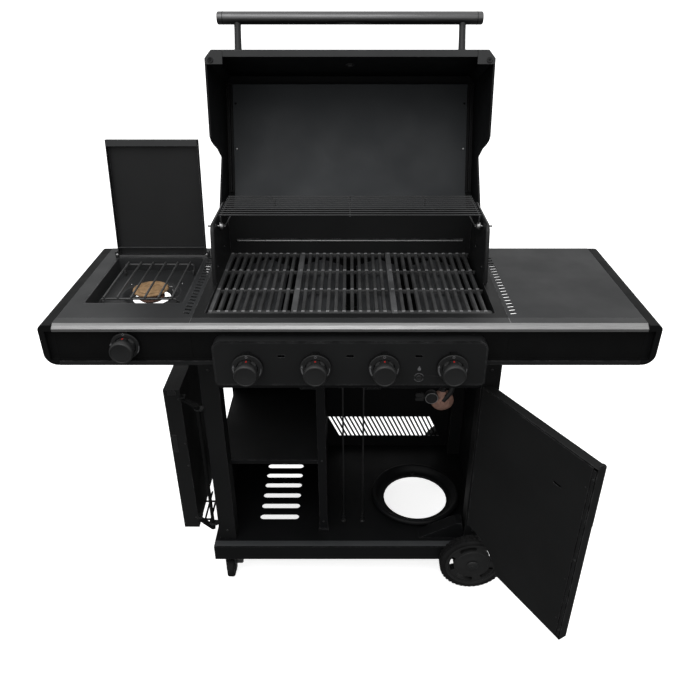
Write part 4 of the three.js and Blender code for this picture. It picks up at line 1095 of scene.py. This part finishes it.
def hood_corners():
    """Chamfered brackets with round screws at the hood's lower front corners, and the lip between them."""
    low, high = box("hood", HOOD)
    plates = Piece(HOOD)
    screws = Piece(HOOD)
    z = low.z
    for side in (-1, 1):
        outer, inner = side * (high.x - 0.5), side * (high.x - 45)
        y0, y1 = low.y + 0.5, low.y + 34
        plate = [(inner, y0), (outer - side * 17, y0), (outer, y0 + 20), (outer, y1), (inner, y1)]
        plates.prism("z", [plate if side < 0 else plate[::-1]], z - 1.6, z + 1.2)
        screws.lathe([(0, 0), (7.4, 0), (7.4, 1.4), (6.2, 2.4), (4.4, 2.2), (4.2, 1.4), (0, 1.4)],
                     (side * (high.x - 15), y0 + 24, z - 1.6), DOWN, 32)
    plates.build("hood_corner_brackets", "hood", "paint_black", "lip_grey", bevel=0.7)
    screws.build("hood_corner_screws", "hood", "wire_steel", "paint_black", smooth=40)
    lip = Piece(HOOD)
    lip.block((-high.x + 45.6, low.y + 1, z - 1.2), (high.x - 45.6, low.y + 17, z + 1))
    lip.build("hood_lip", "hood", "paint_black", "lip_grey", bevel=0.6)


def thermometer():
    """Round dial on the hood's front, with its glass, and its probe inside."""
    front_low, front_top, _ = hood_outline()
    along = (front_top - front_low).normalized()
    out = Vector((-along.y, along.x))
    at = front_low + (front_top - front_low) * 0.42
    axis = (0, out.x, out.y)
    place = (0, at.x, at.y)
    case = Piece(HOOD)
    case.lathe([(0, -2), (30, -2), (33, 0), (34, 3), (34, 8), (32, 10.5), (29.5, 11), (28.5, 9), (27, 7),
                (0, 7)], place, axis, 64)
    case.build("thermometer_case", "hood", "handle_steel", "bright_steel", smooth=35)
    pane = Piece(HOOD).lathe([(0, 6.8), (28.2, 6.8), (28.2, 8.2), (26, 8.9), (0, 9.6)], place, axis, 48)
    pane.build("thermometer_glass", "hood", "handle_steel", "dial_glass", smooth=50)
    probe = Piece(HOOD)
    probe.lathe([(0, 3), (15, 3), (15, 8.5), (13.5, 10.5), (8, 11), (7, 14), (0, 14)], place,
                (0, -out.x, -out.y), 32)
    probe.build("thermometer_probe", "hood", "handle_steel", "wire_steel", smooth=40)


def hood_handle():
    """Thick bar with end caps, on two posts that taper out from round feet."""
    low, high = box("hood_handle", HOOD)
    y, z = low.y + HANDLE_R, high.z - HANDLE_R
    radius = HANDLE_R - 0.35
    front_low, front_top, _ = hood_outline()
    wall = (front_top - front_low).normalized()
    bar = Piece(HOOD)
    length = high.x - low.x
    bar.lathe([(0, 0), (radius - 3, 0), (radius - 0.8, 1.2), (radius, 4), (radius, length - 4),
               (radius - 0.8, length - 1.2), (radius - 3, length), (0, length)], (low.x, y, z), ACROSS, 56)
    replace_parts(bar.build("hood_handle_bar", "hood", "handle_steel", smooth=40), "hood_handle")
    posts = Piece(HOOD)
    inward = (0, wall.y, -wall.x)
    profile = [(0, 10), (9.6, 12), (8.9, 17), (8.7, 26), (8.9, 50), (9.4, 78), (9.8, 86), (11, 90),
               (12.5, 91.5), (12.5, HANDLE_REACH), (0, HANDLE_REACH)]
    for x in (-HANDLE_POST_X, HANDLE_POST_X):
        posts.lathe(profile, (x, y, z), inward, 28)
    posts.build("hood_handle_posts", "hood", "handle_steel", "wire_steel", smooth=40)
    seams = Piece(HOOD)
    seam = [(radius - 1, 0), (radius + 0.25, 0), (radius + 0.25, 1.2), (radius - 1, 1.2)]
    for x in (low.x + 14, high.x - 15.2):
        seams.lathe(seam, (x, y, z), ACROSS, 56)
    seams.build("hood_handle_seams", "hood", "handle_steel", "fascia_plastic")


def hood_hinges():
    """Washer and nut over each hood pin, outside the side wall."""
    pivot = Vector(JOINTS["hood_hinge"]["pos_m"]) * 1000
    piece = Piece()
    for side in (-1, 1):
        x = side * box("hood")[1].x
        at, out = (x, pivot.y, pivot.z), (side, 0, 0)
        piece.lathe([(6.6, 0), (15, 0), (15, 2), (6.6, 2)], at, out, 32)
        piece.lathe([(0, 2), (10.5, 2), (10.5, 8), (9, 9.5), (0, 9.5)], at, out, 6)
    piece.build("hood_hinge_nuts", "cart", "wire_steel", bevel=0.5)


def lid_details():
    """Return flange at the lid's front edge, a stiffening line near its hinge, and bright pin ends."""
    low, high = box("side_burner_lid", LID)
    piece = Piece(LID)
    piece.block((low.x + 2.5, low.y + 1, low.z - 0.4), (high.x - 2.5, low.y + 17, low.z + 1.4))
    piece.build("lid_front_flange", "side_burner_lid", "paint_satin", "lip_grey", bevel=0.5)
    fold = Piece(LID)
    fold.block((low.x + 2.5, high.y - 22, low.z + 1), (high.x - 2.5, high.y - 20, high.z - 2.2))
    fold.build("lid_rear_fold", "side_burner_lid", "paint_satin", "lip_grey", bevel=0.4)
    pivot = Vector(JOINTS["side_burner_lid_hinge"]["pos_m"]) * 1000
    pins = Piece()
    for side, x in ((-1, low.x - 3.4), (1, high.x + 3.4)):
        pins.dome((x - side * 0.4, pivot.y - 8.6, pivot.z - 2), FORWARD, 4, 2.6)
    pins.build("lid_pin_heads", "cart", "wire_steel", "bright_steel", smooth=50)


# ---------- doors ----------
def door_handle(name, still, x, y, low, high):
    """Slim round bar, drawn over the plain one of the CAD door."""
    piece = Piece(still)
    piece.tube([(x, y, low), (x, y, high)], 8.3, 24)
    piece.build(name, name.replace("_grip", ""), "paint_satin", "handle_steel", smooth=50)


def right_door():
    """Liner that follows the wheel arch, with its latch slot, rivets, handle bar and hinge barrels."""
    dress("right_door", "door_satin", 1.0)
    low, high = box("right_door", RIGHT_DOOR)
    back = high.y
    wheel = centre("wheel_front")
    inset, skin = 4, 1.4
    reach = WHEEL_ARCH_R + inset
    x0, x1, z0, z1 = low.x + inset, high.x - inset, low.z + inset, high.z - inset
    start = math.degrees(math.acos((x1 - wheel.x) / reach))
    end = 180 - math.degrees(math.asin((z0 - wheel.z) / reach))
    outline = [(x0, z0), (x0, z1), (x1, z1), *arc(wheel.x, wheel.z, reach, start, end, 24)]
    seam = x0 + 10
    (slot_x0, slot_z0), (slot_x1, slot_z1) = LATCH_SLOT
    slot = [(slot_x0, slot_z0), (slot_x1, slot_z0), (slot_x1, slot_z1), (slot_x0, slot_z1)]
    main = [(seam, z0), (seam, z1), *outline[2:]]
    piece = Piece(RIGHT_DOOR)
    piece.prism("y", [main, slot], back - skin, back + 0.6)
    strip = [(x0, z0 + 4), (x0, z1 - 4), (seam - 1.8, z1 - 4), (seam - 1.8, z0 + 4)]
    piece.prism("y", [strip], back - skin, back + 0.2)
    piece.block((low.x + 0.3, back - 18, high.z - 6), (low.x + 2, back - 4, high.z + 7))
    piece.build("right_door_liner", "right_door", "paint_satin", "door_satin", bevel=0.4)
    rivets = Piece(RIGHT_DOOR)
    for z in (z1 - 29, (z0 + z1) / 2, z0 + 28):
        rivets.dome((x0 + 3.6, back + 0.2, z), BACKWARD, RIVET_R, 1.6)
    for z in (z0 + 60, z0 + 200, z1 - 60):
        rivets.dome((seam + 8, back + 0.6, z), BACKWARD, 2, 0.8)
    rivets.build("right_door_rivets", "right_door", "wire_steel", smooth=50)
    door_handle("right_door_grip", RIGHT_DOOR, 30, low.y + 8, high.z - 212, high.z - 28)
    hinge = Piece(RIGHT_DOOR)
    pin = Vector(JOINTS["right_door_hinge"]["pos_m"]) * 1000
    for z in (high.z - 40, z0 + 160):
        hinge.tube([(pin.x + 1, pin.y + 2, z), (pin.x + 1, pin.y + 2, z + 30)], 4.2, 18)
    hinge.build("right_door_hinges", "right_door", "wire_steel", "bright_steel", smooth=50)


def left_door():
    """Liner, plates and rivets on the free edge, handle bar, and the stay under the door."""
    dress("left_door", "door_satin", 1.0)
    low, high = box("left_door", LEFT_DOOR)
    back = high.y
    x0, x1 = high.x - LEFT_DOOR_WIDTH, high.x
    inset = 4
    liner = Piece(LEFT_DOOR)
    outline = rounded(x0 + inset, x1 - inset, low.z + inset, high.z - inset, 3, 4)
    liner.prism("y", [outline], back - 1.4, back + 0.6)
    liner.build("left_door_liner", "left_door", "paint_satin", "door_satin", bevel=0.4)
    plates = Piece(LEFT_DOOR)
    plates.block((x0 - 1.2, back - 18, high.z - 210), (x0 + 0.5, back - 6, high.z - 150))
    plates.block((x0 - 1.2, back - 34, high.z - 16), (x0 + 0.5, back - 12, high.z - 4))
    plates.build("left_door_edge_plates", "left_door", "wire_steel", bevel=0.4)
    rivets = Piece(LEFT_DOOR)
    for z in (high.z - 30, high.z - 180, low.z + 240, low.z + 40):
        rivets.dome((x0 - 0.2, back - 40, z), (-1, 0, 0), RIVET_R, 1.6)
        rivets.dome((x0 + 12, back + 0.6, z), BACKWARD, RIVET_R, 1.4)
    rivets.build("left_door_rivets", "left_door", "wire_steel", smooth=50)
    stay = Piece(LEFT_DOOR)
    z = low.z + 5
    near, far = x0 + 6, x0 + 150
    front = low.y + 36
    for y in (front - 14, front - 32):
        stay.block((near, y - 2.4, z), (far, y + 2.4, z + 5))
    for x in (near + 16, near + 96):
        stay.block((x, front - 33, z + 1), (x + 6, front + 1, z + 4))
    stay.build("left_door_stay", "left_door", "wire_steel", "fascia_plastic", bevel=0.4)
    door_handle("left_door_grip", LEFT_DOOR, x1 - 32, low.y + 8, high.z - 212, high.z - 28)


# ---------- running gear ----------
def wheel_tyre(node):
    """Tyre with two staggered rows of tread lugs."""
    low, high = box(node)
    x, _, z = (low + high) / 2
    radius = (high.z - low.z) / 2
    width = high.y - low.y
    tyre = Piece()
    base = radius - 2.2
    side = [(78, 3), (82, 1), (88, 0.6), (base - 3, 2), (base, 6)]
    tyre.lathe([*side, *[(r, width - a) for r, a in reversed(side)]], (x, low.y, z), BACKWARD, 96)
    lugs = 44
    for i in range(lugs):
        for row, shift in ((0, 0), (1, 0.5)):
            turn = math.tau * (i + shift) / lugs
            y0 = low.y + (5.4 if row == 0 else width / 2 + 1)
            y1 = low.y + (width / 2 - 1 if row == 0 else width - 5.4)
            half = 0.32 * math.tau / lugs
            top = radius - 0.15
            corners = [(base - 1, -half), (top, -half * 0.8), (top, half * 0.8), (base - 1, half)]
            loop = [(x + r * math.cos(turn + t), z + r * math.sin(turn + t)) for r, t in corners]
            tyre.prism("y", [loop], y0, y1)
    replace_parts(tyre.build(f"{node}_tyre", node, "tyre", smooth=40), node)


def wheel_hub(node):
    """Two discs with five curved windows, joined round the windows, and dished at the middle."""
    low, high = box(node)
    x, _, z = (low + high) / 2
    width = high.y - low.y
    at = (x, low.y, z)
    hub = Piece()
    windows = [sector(x, z, *HUB_WINDOW, 72 * i + 10, 72 * i + 58, 12) for i in range(5)]
    disc = [circle(x, z, HUB_R, 72), circle(x, z, 6.6, 20), *windows]
    hub.prism("y", disc, low.y + 6, low.y + 11)
    hub.prism("y", disc, high.y - 11, high.y - 6)
    hub.lathe([(73, 3), (79, 2), (80, 4), (80, width - 4), (79, width - 2), (73, width - 3),
               (72, width - 8), (72, 8)], at, BACKWARD, 96)
    for face, way in ((0, 1), (width, -1)):
        dish = [(6.6, 8), (49, 8), (47, 5), (40, 4), (26, 3.4), (24, 2.4), (6.6, 2.4)]
        hub.lathe([(r, face + way * depth) for r, depth in dish], at, BACKWARD, 72)
    middle = sum(HUB_WINDOW) / 2
    for window in windows:
        inner = []
        for a, b in window:
            turn = math.atan2(b - z, a - x)
            inner.append((0.97 * a + 0.03 * (x + middle * math.cos(turn)),
                          0.97 * b + 0.03 * (z + middle * math.sin(turn))))
        hub.prism("y", [window, inner], low.y + 6.2, high.y - 6.2)
    hub.build(f"{node}_hub", node, "tyre", "hub", bevel=0.6, smooth=35)


def axle():
    """Axle bar with a round cap over each end."""
    low, high = box("wheel_axle")
    x, _, z = (low + high) / 2
    piece = Piece().tube([(x, low.y, z), (x, high.y, z)], 6, 24)
    for y, way in ((box("wheel_front")[0].y - 0.4, -1), (box("wheel_rear")[1].y + 0.4, 1)):
        piece.lathe([(0, 0), (17, 0), (17, 1.2), (15, 3.4), (9, 4.8), (0, 5)], (x, y, z), (0, way, 0), 40)
    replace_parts(piece.build("wheel_axle_bar", "cart", "wire_steel", "hub", smooth=50), "wheel_axle")


def caster_wheel(end):
    """Caster tyre with a narrow hub."""
    node = f"caster_wheel_{end}"
    low, high = box(node)
    _, y, z = (low + high) / 2
    radius = (high.z - low.z) / 2
    width = high.x - low.x
    at = (low.x, y, z)
    side = [(radius - 8, 1), (radius - 5, 0.4), (radius - 2, 1.2), (radius, 4)]
    tread = Piece().lathe([*side, *[(r, width - a) for r, a in reversed(side)]], at, ACROSS, 48)
    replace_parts(tread.build(f"{node}_tread", node, "tyre", smooth=50), node)
    hub = Piece().lathe([(3.6, 0.5), (9, 0.5), (10, 3), (radius - 9, 3), (radius - 7.6, 1.6),
                         (radius - 7.4, width - 1.6), (radius - 9, width - 3), (10, width - 3),
                         (9, width - 0.5), (3.6, width - 0.5)], at, ACROSS, 40)
    hub.build(f"{node}_hub", node, "tyre", "hub", smooth=35)


# ---------- the scene ----------
make_camera()
make_world(sky=0.86, ground=0.14)
make_floor()
area_light("key", (-0.6, -1.6, 3.6), (0, 0, 0.7), (3.0, 2.0), 30)

dress_cart()
tank_ring()
guard_rods()
cart_screws()
door_catches()
base_rim()
dress_cooking_unit()
for grate_name, left_border in (("grate_left", 10), ("grate_middle", 14), ("grate_right", 14)):
    grate(grate_name, left_border)
for number in range(1, 5):
    burner_tube(f"burner_{number}")
warming_rack()
firebox_details()
manifold()
regulator()
valve_bracket()
dress_table()
trim_top()
fascia_rim()
burner_bowl()
side_burner()
pot_support()
control_panel()
for number in range(1, 5):
    knob(f"knob_{number}", panel_face(), DIAL_R)
knob("side_burner_knob", box("fascia")[1].y - SHEET, SIDE_DIAL_R)
igniter()
dress_hood()
hood_liner()
hood_corners()
thermometer()
hood_handle()
hood_hinges()
lid_details()
right_door()
left_door()
for wheel_name in ("wheel_front", "wheel_rear"):
    wheel_tyre(wheel_name)
    wheel_hub(wheel_name)
axle()
for caster_end in ("front", "rear"):
    caster_wheel(caster_end)

bpy.context.scene.view_settings.view_transform = "Standard"
